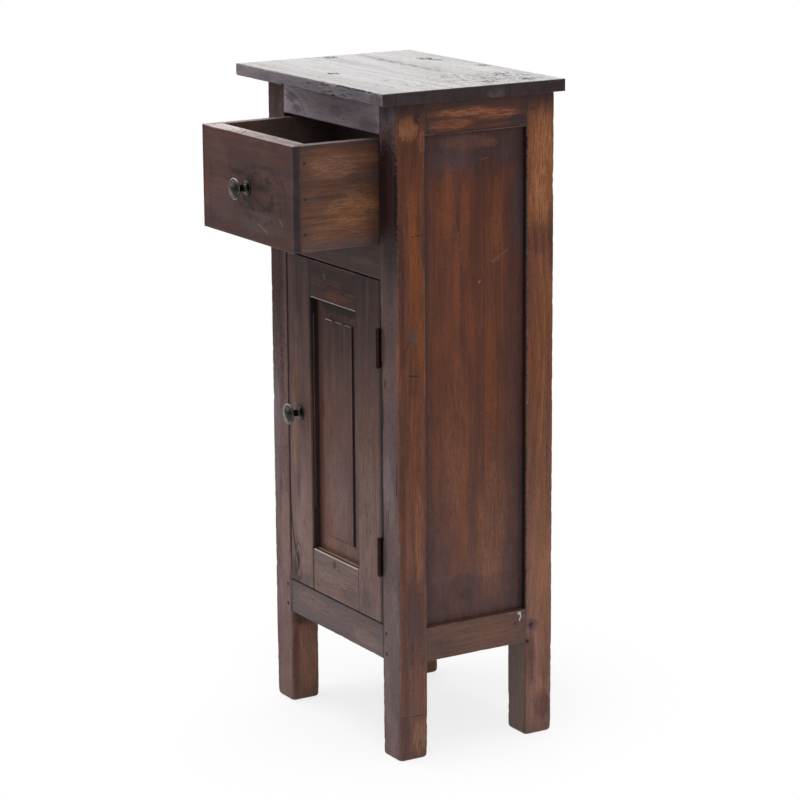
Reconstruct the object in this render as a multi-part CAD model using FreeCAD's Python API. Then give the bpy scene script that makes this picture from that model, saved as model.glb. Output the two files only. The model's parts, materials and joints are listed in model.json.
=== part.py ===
"""Tall narrow side table with a drawer over a cupboard door, in solid wood.

Four square posts run from the floor to the tabletop. Rails are tenoned and pegged into them, panels
stand in grooves, the drawer runs on strips between the posts, and the door swings on two butt hinges.

Workshop coordinates, millimetres: x across (right is positive), y from the front face of the posts
towards the back, z up from the floor. save() moves every piece to the shared origin, which lies at
floor level under the middle of the table as it stands with its drawer out.
"""
import FreeCAD, Part
import os
from math import asin, cos, sin
from FreeCAD import Vector

# ---------------------------------------------------------------- driving dimensions, millimetres
# case
height = 900.0                 # floor to the top of the tabletop
case_width = 336.0             # over the outer faces of the posts
case_depth = 242.0             # front face to back face of the posts
post_side = 43.0               # square section of a post
post_edge_radius = 1.6
foot_chamfer = 1.5

# tabletop
top_thickness = 16.0
top_side_overhang = 26.0
top_front_overhang = 35.0
top_strip_width = 20.0         # edge strip glued along the front
top_board_count = 3
top_edge_radius = 1.6
top_corner_radius = 4.0
board_arris = 0.6              # small bevel on each side of a glued joint

# rails
foot_height = 134.0            # floor to the underside of the bottom rails
bottom_rail_height = 47.0
top_rail_height = 46.0
divider_height = 46.0          # rail between the drawer and the door
drawer_opening_height = 143.0
rail_thickness = 22.0
rail_setback = 0.8             # rails and door stand this far behind the face of the posts
rail_edge_radius = 1.0

# joints of the frame
tenon_length = 26.0
tenon_thickness = 10.0
tenon_shoulder = 4.0           # edge of a plain rail to the edge of its tenon
tenon_to_groove = 2.0          # floor of a panel groove to the edge of the tenon
mortise_relief = 1.0           # empty depth past the end of a tenon
peg_diameter = 6.0
peg_length = 26.0
peg_from_shoulder = 9.0
peg_to_tenon_edge = 5.5

# panels
side_panel_thickness = 9.0
side_panel_recess = 9.0        # face of the post to face of the panel
back_panel_thickness = 6.0
back_panel_recess = 8.0
groove_depth = 7.0
panel_entry = 6.0              # how far a panel reaches into its groove

# cupboard floor and shelf
floor_thickness = 12.0
floor_step = 6.0               # floor stands this far above the bottom rail and stops the door
door_stop_gap = 0.5
floor_cleat_side = 15.0
shelf_thickness = 12.0
shelf_height = 225.0           # top of the shelf above the cupboard floor
shelf_setback = 32.0           # front edge of the shelf behind the face of the posts
shelf_clearance = 1.0
shelf_cleat_height = 14.0
shelf_cleat_width = 15.0

# drawer carriage
runner_thickness = 20.0
runner_inside = 15.0           # how far runners and kickers reach in past the posts
guide_height = 16.0
kicker_thickness = 18.0
kicker_play = 9.5              # free height over the drawer sides, in which the drawer can droop
stop_length = 14.0
stop_height = 12.0
top_cleat_side = 18.0
top_cleat_margin = 25.0        # from the post to the end of a top cleat
top_screw_diameter = 4.0
top_screw_bite = 10.0          # thread length in the tabletop
top_screw_spacing = 75.0

# drawer
drawer_out = 126.0             # how far the drawer stands open at rest
drawer_side_gap = 2.5
drawer_running_gap = 0.3
drawer_height = 138.0
drawer_stop_to_back = 7.9      # from the stops behind the closed drawer to the back panel
drawer_front_thickness = 25.0
drawer_front_lip = 9.0         # front stock left over the ends of the sides
drawer_side_thickness = 12.0
drawer_bottom_thickness = 5.0
drawer_bottom_rise = 8.0
drawer_bottom_entry = 6.0
drawer_edge_radius = 1.2
drawer_back_gap = 0.3          # closed drawer to its stops
nail_diameter = 2.2
nail_head_diameter = 4.0
nail_head_height = 0.8
nail_length = 28.0
nail_rows = 3

# door
door_gap_hinge = 1.5
door_gap_latch = 2.0
door_gap_top = 2.0
door_gap_bottom = 2.0
door_thickness = 22.0
stile_width = 61.0
door_top_rail_height = 52.5
door_bottom_rail_height = 59.0
door_tenon_length = 25.0
door_tenon_thickness = 6.0
door_edge_radius = 1.0
bead_radius = 2.6              # rounding worked round the panel opening
bead_corner_radius = 5.0       # roller that guides the rounding through the corners
corner_chop = 0.05             # squaring the corners afterwards cuts this much into the edges
field_depth = 7.0              # door face to the raised field
field_margin = 25.0            # opening edge to the raised field
field_step = 1.4               # little cliff round the field
bevel_fall = 1.4               # fall of the bevel from the field to the groove
door_panel_tongue = 6.0        # thickness of the panel in its groove
door_panel_entry = 7.0
door_groove_depth = 8.0

# knobs
knob_diameter = 29.0
knob_base_diameter = 20.0
knob_neck_diameter = 9.0
knob_length = 23.5
knob_rim_height = 18.5         # base to the edge of the disc
knob_rim_roll = 1.3            # half the thickness of the rounded rim
knob_foot_thickness = 1.8
knob_foot_bulge = 0.35
knob_foot_hollow = 1.0         # depth of the hollow between the foot and the waist
knob_waist_start = 7.0         # base to the narrowest stretch
knob_waist_end = 10.0
knob_flare_hollow = 1.6        # depth of the hollow under the disc
knob_thread_depth = 10.0
knob_screw_diameter = 4.0
screw_head_diameter = 8.0
screw_head_height = 2.5
door_knob_height = 428.0

# butt hinges
hinge_length = 51.0
hinge_leaf_reach = 15.0        # from the face of the post back along the leaf
hinge_leaf_thickness = 1.3
hinge_barrel_diameter = 6.6
hinge_barrel_clearance = 0.1   # barrel to the face of the post
hinge_pin_diameter = 3.0
hinge_pin_clearance = 0.05     # radial
hinge_pin_tip = 2.0
hinge_knuckles = 5
hinge_knuckle_gap = 0.25
hinge_leaf_clearance = 0.2     # leaf to the other leaf's knuckles
hinge_from_top = 63.0          # top of the door to the upper hinge
hinge_from_bottom = 67.0
hinge_screws = 3
hinge_screw_head = 5.4
hinge_screw_shank = 2.8
hinge_screw_length = 14.0
hinge_screw_line = 6.0         # middle screw behind the face of the post
hinge_screw_stagger = 4.5
hinge_screw_inset = 9.0

# door catch
catch_width = 12.0
catch_depth = 14.0
catch_height = 42.0
catch_centre_height = 540.0
catch_gap = 0.3
strike_width = 13.0
strike_height = 36.0
strike_thickness = 1.2

# ---------------------------------------------------------------- places worked out from them
post_out = case_width / 2
post_in = post_out - post_side                 # inner side face of a post
post_top = height - top_thickness
post_back = case_depth - post_side             # front face of a back post
rail_back = rail_setback + rail_thickness
bottom_rail_top = foot_height + bottom_rail_height
top_rail_bottom = post_top - top_rail_height
drawer_opening_bottom = top_rail_bottom - drawer_opening_height
door_opening_top = drawer_opening_bottom - divider_height
side_rail_out = post_out - rail_setback
side_rail_in = side_rail_out - rail_thickness
back_rail_out = case_depth - rail_setback
back_rail_in = back_rail_out - rail_thickness
side_panel_out = post_out - side_panel_recess
side_panel_in = side_panel_out - side_panel_thickness
back_panel_out = case_depth - back_panel_recess
back_panel_in = back_panel_out - back_panel_thickness
floor_top = bottom_rail_top + floor_step
floor_bottom = floor_top - floor_thickness
shelf_top = floor_top + shelf_height
shelf_bottom = shelf_top - shelf_thickness
grooved_shoulder = groove_depth + tenon_to_groove

drawer_half = post_in - drawer_side_gap
drawer_bottom = drawer_opening_bottom + drawer_running_gap
drawer_top = drawer_bottom + drawer_height
drawer_face = rail_setback                     # closed drawer, flush with the rails
stop_front = back_panel_in - drawer_stop_to_back - stop_length
drawer_end = stop_front - drawer_back_gap
drawer_slide = Vector(0, -drawer_out, 0)       # from closed to its rest place
kicker_bottom = drawer_top + kicker_play

door_left = -post_in + door_gap_latch
door_right = post_in - door_gap_hinge
door_bottom = bottom_rail_top + door_gap_bottom
door_top = door_opening_top - door_gap_top
door_face = rail_setback
door_back = door_face + door_thickness
pane_left = door_left + stile_width            # the panel opening of the door
pane_right = door_right - stile_width
pane_bottom = door_bottom + door_bottom_rail_height
pane_top = door_top - door_top_rail_height
door_groove_front = door_face + field_depth + field_step + bevel_fall
door_groove_back = door_groove_front + door_panel_tongue
door_knob_x = (door_left + pane_left) / 2

hinge_axis_x = post_in - door_gap_hinge / 2
hinge_axis_y = -hinge_barrel_diameter / 2 - hinge_barrel_clearance
upper_hinge_bottom = door_top - hinge_from_top - hinge_length
lower_hinge_bottom = door_bottom + hinge_from_bottom

front_reach = drawer_out - drawer_face + knob_length
origin_y = (case_depth - front_reach) / 2      # workshop y of the shared origin

tiny = 1e-6                                    # lengths that count as nothing
os.makedirs("parts", exist_ok=True)
saved = []


def save(node, *solids):
    """Write one node to its STEP file, moved to the shared origin."""
    shape = solids[0] if len(solids) == 1 else Part.makeCompound(list(solids))
    placed = shape.copy()
    placed.translate(Vector(0, -origin_y, 0))
    placed.exportStep("parts/" + node + ".step")
    saved.append(node)


# ---------------------------------------------------------------- shapes used again and again
def block(x0, x1, y0, y1, z0, z1):
    """Plain block between two corners."""
    return Part.makeBox(x1 - x0, y1 - y0, z1 - z0, Vector(x0, y0, z0))


def eased(shape, radius, along):
    """Round the straight edges of a block that run along one axis: "x", "y" or "z"."""
    def runs(edge):
        a, b = edge.Vertexes[0].Point, edge.Vertexes[-1].Point
        return all(abs(getattr(a, axis) - getattr(b, axis)) < tiny for axis in "xyz" if axis != along)
    edges = [edge for edge in shape.Edges if runs(edge)]
    return shape.makeFillet(radius, edges)


def rod(start, direction, diameter, length):
    """Round bar from a point along a direction."""
    return Part.makeCylinder(diameter / 2, length, start, direction)


def outline_board(points, z0, z1):
    """Board of a given plan outline between two heights."""
    wire = Part.makePolygon([Vector(x, y, z0) for x, y in points + points[:1]])
    return Part.Face(wire).extrude(Vector(0, 0, z1 - z0))


def bowed(start, end, bow):
    """Arc in a level plane from start to end that stands off the straight line by bow, to the right of it."""
    chord = end - start
    across = Vector(chord.y, -chord.x, 0).normalize()
    return Part.Arc(start, (start + end) * 0.5 + across * bow, end)


def mirrored(shape):
    """The same piece on the other side of the table."""
    return shape.mirror(Vector(0, 0, 0), Vector(1, 0, 0))


def cut_all(shape, cutters):
    """Shape less every cutter."""
    return shape.cut(cutters) if cutters else shape


# ---------------------------------------------------------------- frame joints
def cross_tenons(y0, y1, z0, z1, shoulder, extra=0.0):
    """Tenon blocks at both ends of a rail that runs across, longer by extra for their mortises."""
    middle = (y0 + y1) / 2
    half = tenon_thickness / 2
    reach = tenon_length + extra
    right = block(post_in, post_in + reach, middle - half, middle + half, z0 + shoulder, z1 - shoulder)
    return [right, mirrored(right)]


def depth_tenons(z0, z1, extra=0.0):
    """Tenon blocks at both ends of a right side rail that runs from front to back."""
    middle = (side_rail_in + side_rail_out) / 2
    half = tenon_thickness / 2
    reach = side_tenon_length + extra
    bottom, top = z0 + grooved_shoulder, z1 - grooved_shoulder
    front = block(middle - half, middle + half, post_side - reach, post_side, bottom, top)
    back = block(middle - half, middle + half, post_back, post_back + reach, bottom, top)
    return [front, back]


# a side tenon ends clear of the front rail's mortise in the same post
side_tenon_length = post_side - rail_back + (rail_thickness - tenon_thickness) / 2 - 2 * mortise_relief


def cross_pegs(y_face, inward, z0, z1, shoulder):
    """Pegs driven from the front or the back through the tenons of a rail that runs across."""
    pegs = []
    for side in (-1, 1):
        for z in (z0 + shoulder + peg_to_tenon_edge, z1 - shoulder - peg_to_tenon_edge):
            start = Vector(side * (post_in + peg_from_shoulder), y_face, z)
            pegs.append(rod(start, Vector(0, inward, 0), peg_diameter, peg_length))
    return pegs


def depth_pegs(z0, z1):
    """Pegs driven from the right side through the tenons of a right side rail."""
    z = (z0 + z1) / 2
    places = (post_side - peg_from_shoulder, post_back + peg_from_shoulder)
    return [rod(Vector(post_out, y, z), Vector(-1, 0, 0), peg_diameter, peg_length) for y in places]


front_rails = {
    "front_top_rail": (top_rail_bottom, post_top),
    "front_divider_rail": (door_opening_top, drawer_opening_bottom),
    "front_bottom_rail": (foot_height, bottom_rail_top),
}
back_rails = {
    "back_top_rail": (top_rail_bottom, post_top),
    "back_bottom_rail": (foot_height, bottom_rail_top),
}
side_rails = {
    "top_rail": (top_rail_bottom, post_top),
    "bottom_rail": (foot_height, bottom_rail_top),
}
front_pegs = [peg for z0, z1 in front_rails.values() for peg in cross_pegs(0, 1, z0, z1, tenon_shoulder)]
back_pegs = [peg for z0, z1 in back_rails.values()
             for peg in cross_pegs(case_depth, -1, z0, z1, grooved_shoulder)]
right_pegs = [peg for z0, z1 in side_rails.values() for peg in depth_pegs(z0, z1)]

# panels, as they stand in their grooves
panel_z0 = bottom_rail_top - panel_entry
panel_z1 = top_rail_bottom + panel_entry
side_panel = block(side_panel_in, side_panel_out, post_side - panel_entry, post_back + panel_entry,
                   panel_z0, panel_z1)
side_groove = block(side_panel_in, side_panel_out, post_side - groove_depth, post_back + groove_depth,
                    bottom_rail_top - groove_depth, top_rail_bottom + groove_depth)
back_panel = block(-post_in - panel_entry, post_in + panel_entry, back_panel_in, back_panel_out,
                   panel_z0, panel_z1)
back_groove = block(-post_in - groove_depth, post_in + groove_depth, back_panel_in, back_panel_out,
                    bottom_rail_top - groove_depth, top_rail_bottom + groove_depth)


# ---------------------------------------------------------------- hinges
def hinge_screw(x, y, z, way):
    """Countersunk wood screw that starts flush with a leaf and goes left or right into the wood."""
    cone = Part.makeCone(hinge_screw_head / 2, hinge_screw_shank / 2, hinge_leaf_thickness,
                         Vector(x, y, z), Vector(way, 0, 0))
    start = Vector(x + way * hinge_leaf_thickness, y, z)
    return cone.fuse(rod(start, Vector(way, 0, 0), hinge_screw_shank, hinge_screw_length)).removeSplitter()


def hinge(z0):
    """One butt hinge that starts at height z0: leaves, pin, their screws and their beds in the wood."""
    z1 = z0 + hinge_length
    radius = hinge_barrel_diameter / 2
    plate_front = hinge_axis_y + radius + hinge_leaf_clearance
    bore = rod(Vector(hinge_axis_x, hinge_axis_y, z0), Vector(0, 0, 1),
               hinge_pin_diameter + 2 * hinge_pin_clearance, hinge_length)
    knuckle = (hinge_length - (hinge_knuckles - 1) * hinge_knuckle_gap) / hinge_knuckles
    inset_step = (hinge_length - 2 * hinge_screw_inset) / (hinge_screws - 1)
    made = {}
    for name, way, surface in (("post", 1, post_in), ("door", -1, door_right)):
        x0, x1 = sorted((surface, surface + way * hinge_leaf_thickness))
        leaf = block(x0, x1, plate_front, hinge_leaf_reach, z0, z1)
        first = 0 if name == "post" else 1
        for index in range(first, hinge_knuckles, 2):
            z = z0 + index * (knuckle + hinge_knuckle_gap)
            tube = rod(Vector(hinge_axis_x, hinge_axis_y, z), Vector(0, 0, 1), hinge_barrel_diameter, knuckle)
            tab = block(x0, x1, hinge_axis_y, plate_front, z, z + knuckle)
            leaf = leaf.fuse([tube, tab])
        screws = []
        for index in range(hinge_screws):
            y = hinge_screw_line + hinge_screw_stagger * (index % 2)
            screws.append(hinge_screw(surface, y, z0 + hinge_screw_inset + index * inset_step, way))
        made[name + "_leaf"] = leaf.removeSplitter().cut([bore] + screws)
        made[name + "_screws"] = screws
        made[name + "_bed"] = block(x0, x1, hinge_axis_y, hinge_leaf_reach, z0, z1)
    tip = Part.makeSphere(hinge_pin_tip, Vector(hinge_axis_x, hinge_axis_y, z1))
    tip = tip.common(block(hinge_axis_x - radius, hinge_axis_x + radius, hinge_axis_y - radius,
                           hinge_axis_y + radius, z1, z1 + radius))
    low_tip = tip.mirror(Vector(0, 0, (z0 + z1) / 2), Vector(0, 0, 1))
    pin = rod(Vector(hinge_axis_x, hinge_axis_y, z0), Vector(0, 0, 1), hinge_pin_diameter, hinge_length)
    made["pin"] = pin.fuse([tip, low_tip]).removeSplitter()
    return made


hinges = {"upper": hinge(upper_hinge_bottom), "lower": hinge(lower_hinge_bottom)}


# ---------------------------------------------------------------- posts
def make_posts():
    """Four posts with mortises, peg holes and panel grooves; the right front one carries the hinges."""
    front = eased(block(post_in, post_out, 0, post_side, 0, post_top), post_edge_radius, "z")
    front = chamfered_foot(front)
    back = front.copy()
    back.translate(Vector(0, post_back, 0))
    mortises = [m for z0, z1 in front_rails.values()
                for m in cross_tenons(rail_setback, rail_back, z0, z1, tenon_shoulder, mortise_relief)]
    mortises += [m for z0, z1 in back_rails.values()
                 for m in cross_tenons(back_rail_in, back_rail_out, z0, z1, grooved_shoulder, mortise_relief)]
    mortises += [m for z0, z1 in side_rails.values() for m in depth_tenons(z0, z1, mortise_relief)]
    cutters = mortises + front_pegs + back_pegs + right_pegs + [side_groove, back_groove]
    front = cut_all(front, cutters)
    back = cut_all(back, cutters)
    fittings = [cutter for one in hinges.values() for cutter in [one["post_bed"]] + one["post_screws"]]
    save("post_front_left", mirrored(front))
    save("post_front_right", cut_all(front, fittings))
    save("post_back_left", mirrored(back))
    save("post_back_right", back)


def chamfered_foot(post):
    """Post with the edges round its foot bevelled."""
    edges = [edge for edge in post.Edges if abs(edge.BoundBox.ZMax) < tiny]
    return post.makeChamfer(foot_chamfer, edges)


# ---------------------------------------------------------------- rails, panels and pegs
def make_rails():
    """Rails with their tenons, cut for pegs and panels."""
    for name, (z0, z1) in front_rails.items():
        rail = eased(block(-post_in, post_in, rail_setback, rail_back, z0, z1), rail_edge_radius, "x")
        rail = rail.fuse(cross_tenons(rail_setback, rail_back, z0, z1, tenon_shoulder)).removeSplitter()
        save(name, cut_all(rail, front_pegs))
    for name, (z0, z1) in back_rails.items():
        rail = eased(block(-post_in, post_in, back_rail_in, back_rail_out, z0, z1), rail_edge_radius, "x")
        tenons = cross_tenons(back_rail_in, back_rail_out, z0, z1, grooved_shoulder)
        rail = rail.fuse(tenons).removeSplitter()
        save(name, cut_all(rail, back_pegs + [back_groove]))
    for name, (z0, z1) in side_rails.items():
        rail = block(side_rail_in, side_rail_out, post_side, post_back, z0, z1)
        rail = eased(rail, rail_edge_radius, "y")
        rail = rail.fuse(depth_tenons(z0, z1)).removeSplitter()
        rail = cut_all(rail, right_pegs + [side_groove])
        save("right_" + name, rail)
        save("left_" + name, mirrored(rail))


def make_panels_and_pegs():
    """Side and back panels, and the pegs of the frame in three groups."""
    save("right_side_panel", side_panel)
    save("left_side_panel", mirrored(side_panel))
    save("back_panel", back_panel)
    save("front_pegs", *front_pegs)
    save("back_pegs", *back_pegs)
    save("side_pegs", *right_pegs, *[mirrored(peg) for peg in right_pegs])


# ---------------------------------------------------------------- tabletop
def make_tabletop():
    """Edge strip and boards cut from one eased slab, with a small bevel along each glued joint."""
    half = post_out + top_side_overhang
    slab = block(-half, half, -top_front_overhang, case_depth, post_top, height)
    slab = eased(slab, top_corner_radius, "z")
    rims = [edge for edge in slab.Edges if edge.BoundBox.ZLength < tiny]
    slab = slab.makeFillet(top_edge_radius, rims)
    strip_back = -top_front_overhang + top_strip_width
    board_width = (case_depth - strip_back) / top_board_count
    joints = [strip_back + index * board_width for index in range(top_board_count)]
    for y in joints:
        left, bottom, right = y - board_arris, height - board_arris, y + board_arris
        vee = Part.makePolygon([Vector(-half, left, height), Vector(-half, y, bottom),
                                Vector(-half, right, height), Vector(-half, left, height)])
        slab = slab.cut(Part.Face(vee).extrude(Vector(2 * half, 0, 0)))
    slab = cut_all(slab, top_screws)
    edges = [-top_front_overhang] + joints + [case_depth]
    names = ["top_front_strip"] + ["top_board_%d" % (index + 1) for index in range(top_board_count)]
    for name, y0, y1 in zip(names, edges, edges[1:]):
        save(name, slab.common(block(-half, half, y0, y1, post_top, height)))


def top_fixings():
    """Cleats behind the front and back top rails, and the screws that go up through them."""
    half = post_in - top_cleat_margin
    bottom = post_top - top_cleat_side
    front = block(-half, half, rail_back, rail_back + top_cleat_side, bottom, post_top)
    back = block(-half, half, back_rail_in - top_cleat_side, back_rail_in, bottom, post_top)
    screws = []
    for y in (rail_back + top_cleat_side / 2, back_rail_in - top_cleat_side / 2):
        for x in (-top_screw_spacing, 0, top_screw_spacing):
            head = rod(Vector(x, y, bottom - screw_head_height), Vector(0, 0, 1), screw_head_diameter,
                       screw_head_height)
            shank = rod(Vector(x, y, bottom), Vector(0, 0, 1), top_screw_diameter,
                        top_cleat_side + top_screw_bite)
            screws.append(head.fuse(shank).removeSplitter())
    return front, back, screws


top_cleat_front, top_cleat_back, top_screws = top_fixings()


# ---------------------------------------------------------------- inside of the case
def notched_board(x_wide, x_narrow, y0, y1, z0, z1, clearance):
    """Board cut round the four posts: wide between them, narrow past their inner faces."""
    near, far = post_side + clearance, post_back - clearance
    right = [(x_narrow, y0), (x_narrow, near), (x_wide, near), (x_wide, far), (x_narrow, far), (x_narrow, y1)]
    left = [(-x, y) for x, y in reversed(right)]
    return outline_board(right + left, z0, z1)


def make_inside():
    """Cupboard floor and shelf with their cleats, runners, guides, kickers, stops and top cleats."""
    save("cupboard_floor", notched_board(side_rail_in, post_in, door_back + door_stop_gap, back_rail_in,
                                         floor_bottom, floor_top, 0))
    save("cupboard_shelf", notched_board(side_panel_in - shelf_clearance, post_in - shelf_clearance,
                                         shelf_setback, back_panel_in - shelf_clearance,
                                         shelf_bottom, shelf_top, shelf_clearance))
    pieces = {
        "floor_cleat": block(side_rail_in - floor_cleat_side, side_rail_in, post_side, post_back,
                             floor_bottom - floor_cleat_side, floor_bottom),
        "shelf_cleat": block(side_panel_in - shelf_cleat_width, side_panel_in, post_side, post_back,
                             shelf_bottom - shelf_cleat_height, shelf_bottom),
        "drawer_runner": side_strip(side_panel_in, back_panel_in,
                                    drawer_opening_bottom - runner_thickness, drawer_opening_bottom),
        "drawer_guide": block(post_in, side_panel_in, post_side, post_back,
                              drawer_opening_bottom, drawer_opening_bottom + guide_height),
        "drawer_kicker": side_strip(side_rail_in, back_rail_in,
                                    kicker_bottom, kicker_bottom + kicker_thickness),
    }
    for name, piece in pieces.items():
        if name == "drawer_runner":
            save(name + "_right", piece)
            save(name + "_left", mirrored(piece))
        else:
            save(name + "s", piece, mirrored(piece))
    stop = block(post_in - runner_inside, post_in, stop_front, stop_front + stop_length,
                 drawer_opening_bottom, drawer_opening_bottom + stop_height)
    save("drawer_stops", stop, mirrored(stop))
    save("top_cleats", cut_all(top_cleat_front, top_screws), cut_all(top_cleat_back, top_screws))
    save("top_screws", *top_screws)


def side_strip(x_out, y_end, z0, z1):
    """Right-hand strip between the posts, with a tongue that runs past them from front to back."""
    x_in = post_in - runner_inside
    points = [(x_in, rail_back), (post_in, rail_back), (post_in, post_side), (x_out, post_side),
              (x_out, post_back), (post_in, post_back), (post_in, y_end), (x_in, y_end)]
    return outline_board(points, z0, z1)


# ---------------------------------------------------------------- knobs
def knob(x, y, z):
    """Turned metal knob on a face at depth y, pointing forward: foot, waist, flare, rolled rim and dome."""
    def at(out, radius):
        return Vector(x + radius, y - out, z)
    foot, waist, rim = knob_base_diameter / 2, knob_neck_diameter / 2, knob_diameter / 2 - knob_rim_roll / 2
    under, over = knob_rim_height - knob_rim_roll, knob_rim_height + knob_rim_roll
    dome_rise = knob_length - over
    dome_radius = (rim ** 2 + dome_rise ** 2) / (2 * dome_rise)
    dome_bow = dome_radius * (1 - cos(asin(rim / dome_radius) / 2))
    outline = [
        Part.LineSegment(at(0, 0), at(0, foot)),
        bowed(at(0, foot), at(knob_foot_thickness, foot), -knob_foot_bulge),
        bowed(at(knob_foot_thickness, foot), at(knob_waist_start, waist), knob_foot_hollow),
        Part.LineSegment(at(knob_waist_start, waist), at(knob_waist_end, waist)),
        bowed(at(knob_waist_end, waist), at(under, rim), knob_flare_hollow),
        bowed(at(under, rim), at(over, rim), -knob_rim_roll / 2),
        bowed(at(over, rim), at(knob_length, 0), -dome_bow),
        Part.LineSegment(at(knob_length, 0), at(0, 0)),
    ]
    profile = Part.Wire([piece.toShape() for piece in outline])
    return Part.Face(profile).revolve(Vector(x, y, z), Vector(0, 1, 0), 360)


def knob_screw(x, y_front, y_back, z):
    """Screw with its head inside, through the wood and into the knob."""
    head = rod(Vector(x, y_back, z), Vector(0, 1, 0), screw_head_diameter, screw_head_height)
    shank = rod(Vector(x, y_front - knob_thread_depth, z), Vector(0, 1, 0), knob_screw_diameter,
                y_back - y_front + knob_thread_depth)
    return head.fuse(shank).removeSplitter()


# ---------------------------------------------------------------- drawer
def make_drawer():
    """Drawer box with a thick rabbeted front, made closed and then slid out to its rest place."""
    inner = drawer_half - drawer_side_thickness
    front_back = drawer_face + drawer_front_thickness
    lip_back = drawer_face + drawer_front_lip
    z_knob = (drawer_bottom + drawer_top) / 2
    bottom_z0 = drawer_bottom + drawer_bottom_rise
    bottom_z1 = bottom_z0 + drawer_bottom_thickness
    bottom = block(-inner - drawer_bottom_entry, inner + drawer_bottom_entry,
                   front_back - drawer_bottom_entry, drawer_end, bottom_z0, bottom_z1)
    nails = drawer_nails(lip_back, front_back)
    turning = knob(0, drawer_face, z_knob)
    screw = knob_screw(0, drawer_face, front_back, z_knob)

    front = block(-drawer_half, drawer_half, drawer_face, front_back, drawer_bottom, drawer_top)
    rabbet = block(inner, drawer_half, lip_back, front_back, drawer_bottom, drawer_top)
    front = eased(front, drawer_edge_radius, "x").cut([rabbet, mirrored(rabbet)])
    front = cut_all(front, nails + [bottom, screw])
    side = eased(block(inner, drawer_half, lip_back, drawer_end, drawer_bottom, drawer_top),
                 drawer_edge_radius, "y")
    side = cut_all(side, nails + [bottom])
    back = block(-inner, inner, drawer_end - drawer_side_thickness, drawer_end, bottom_z1, drawer_top)
    back = cut_all(back, nails)
    pieces = {
        "drawer_front": [front],
        "drawer_side_right": [side],
        "drawer_side_left": [mirrored(side)],
        "drawer_back": [back],
        "drawer_bottom": [bottom],
        "drawer_nails": nails,
        "drawer_knob": [turning.cut(screw)],
        "drawer_knob_screw": [screw],
    }
    for name, solids in pieces.items():
        save(name, *[moved(solid, drawer_slide) for solid in solids])


def moved(shape, by):
    """Copy of a shape moved by a vector."""
    copy = shape.copy()
    copy.translate(by)
    return copy


def drawer_nails(lip_back, front_back):
    """Nails through both drawer sides into the front and into the back."""
    nails = []
    y_places = ((lip_back + front_back) / 2, drawer_end - drawer_side_thickness / 2)
    step = drawer_height / nail_rows
    for y in y_places:
        for row in range(nail_rows):
            z = drawer_bottom + step * (row + 0.5)
            head = rod(Vector(drawer_half, y, z), Vector(-1, 0, 0), nail_head_diameter, nail_head_height)
            nail = head.fuse(rod(Vector(drawer_half, y, z), Vector(-1, 0, 0), nail_diameter, nail_length))
            nail = nail.removeSplitter()
            nails += [nail, mirrored(nail)]
    return nails


# ---------------------------------------------------------------- door
def door_frame_ring():
    """Door-sized slab with the panel opening cut and its front edge rounded as a guided cutter does."""
    slab = block(door_left, door_right, door_face, door_back, door_bottom, door_top)
    slab = eased(slab, door_edge_radius, "z")
    opening = block(pane_left, pane_right, door_face, door_back, pane_bottom, pane_top)
    ring = slab.cut(eased(opening, bead_corner_radius, "y"))

    def rims_the_opening(edge):
        box = edge.BoundBox
        on_face = abs(box.YMin - door_face) < tiny and box.YLength < tiny
        inset = door_edge_radius + tiny
        return on_face and box.XMin > door_left + inset and box.XMax < door_right - inset
    ring = ring.makeFillet(bead_radius, [edge for edge in ring.Edges if rims_the_opening(edge)])
    return ring.cut(block(pane_left - corner_chop, pane_right + corner_chop, door_face, door_back,
                          pane_bottom - corner_chop, pane_top + corner_chop))


def raised_panel():
    """Panel with a raised field, a small step round it and a bevel down to the tongue in the groove."""
    x0, x1 = pane_left + field_margin, pane_right - field_margin
    z0, z1 = pane_bottom + field_margin, pane_top - field_margin
    field_y = door_face + field_depth
    step_y = field_y + field_step
    field = block(x0, x1, field_y, door_groove_back, z0, z1)
    slope = Part.makeLoft([rectangle(x0, x1, z0, z1, step_y),
                           rectangle(pane_left, pane_right, pane_bottom, pane_top, door_groove_front)], True)
    entry = door_panel_entry
    tongue = block(pane_left - entry, pane_right + entry, door_groove_front, door_groove_back,
                   pane_bottom - entry, pane_top + entry)
    return field.fuse([slope, tongue]).removeSplitter()


def rectangle(x0, x1, z0, z1, y):
    """Closed wire round an upright rectangle at depth y."""
    corners = [(x0, z0), (x1, z0), (x1, z1), (x0, z1), (x0, z0)]
    return Part.makePolygon([Vector(x, y, z) for x, z in corners])


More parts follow.
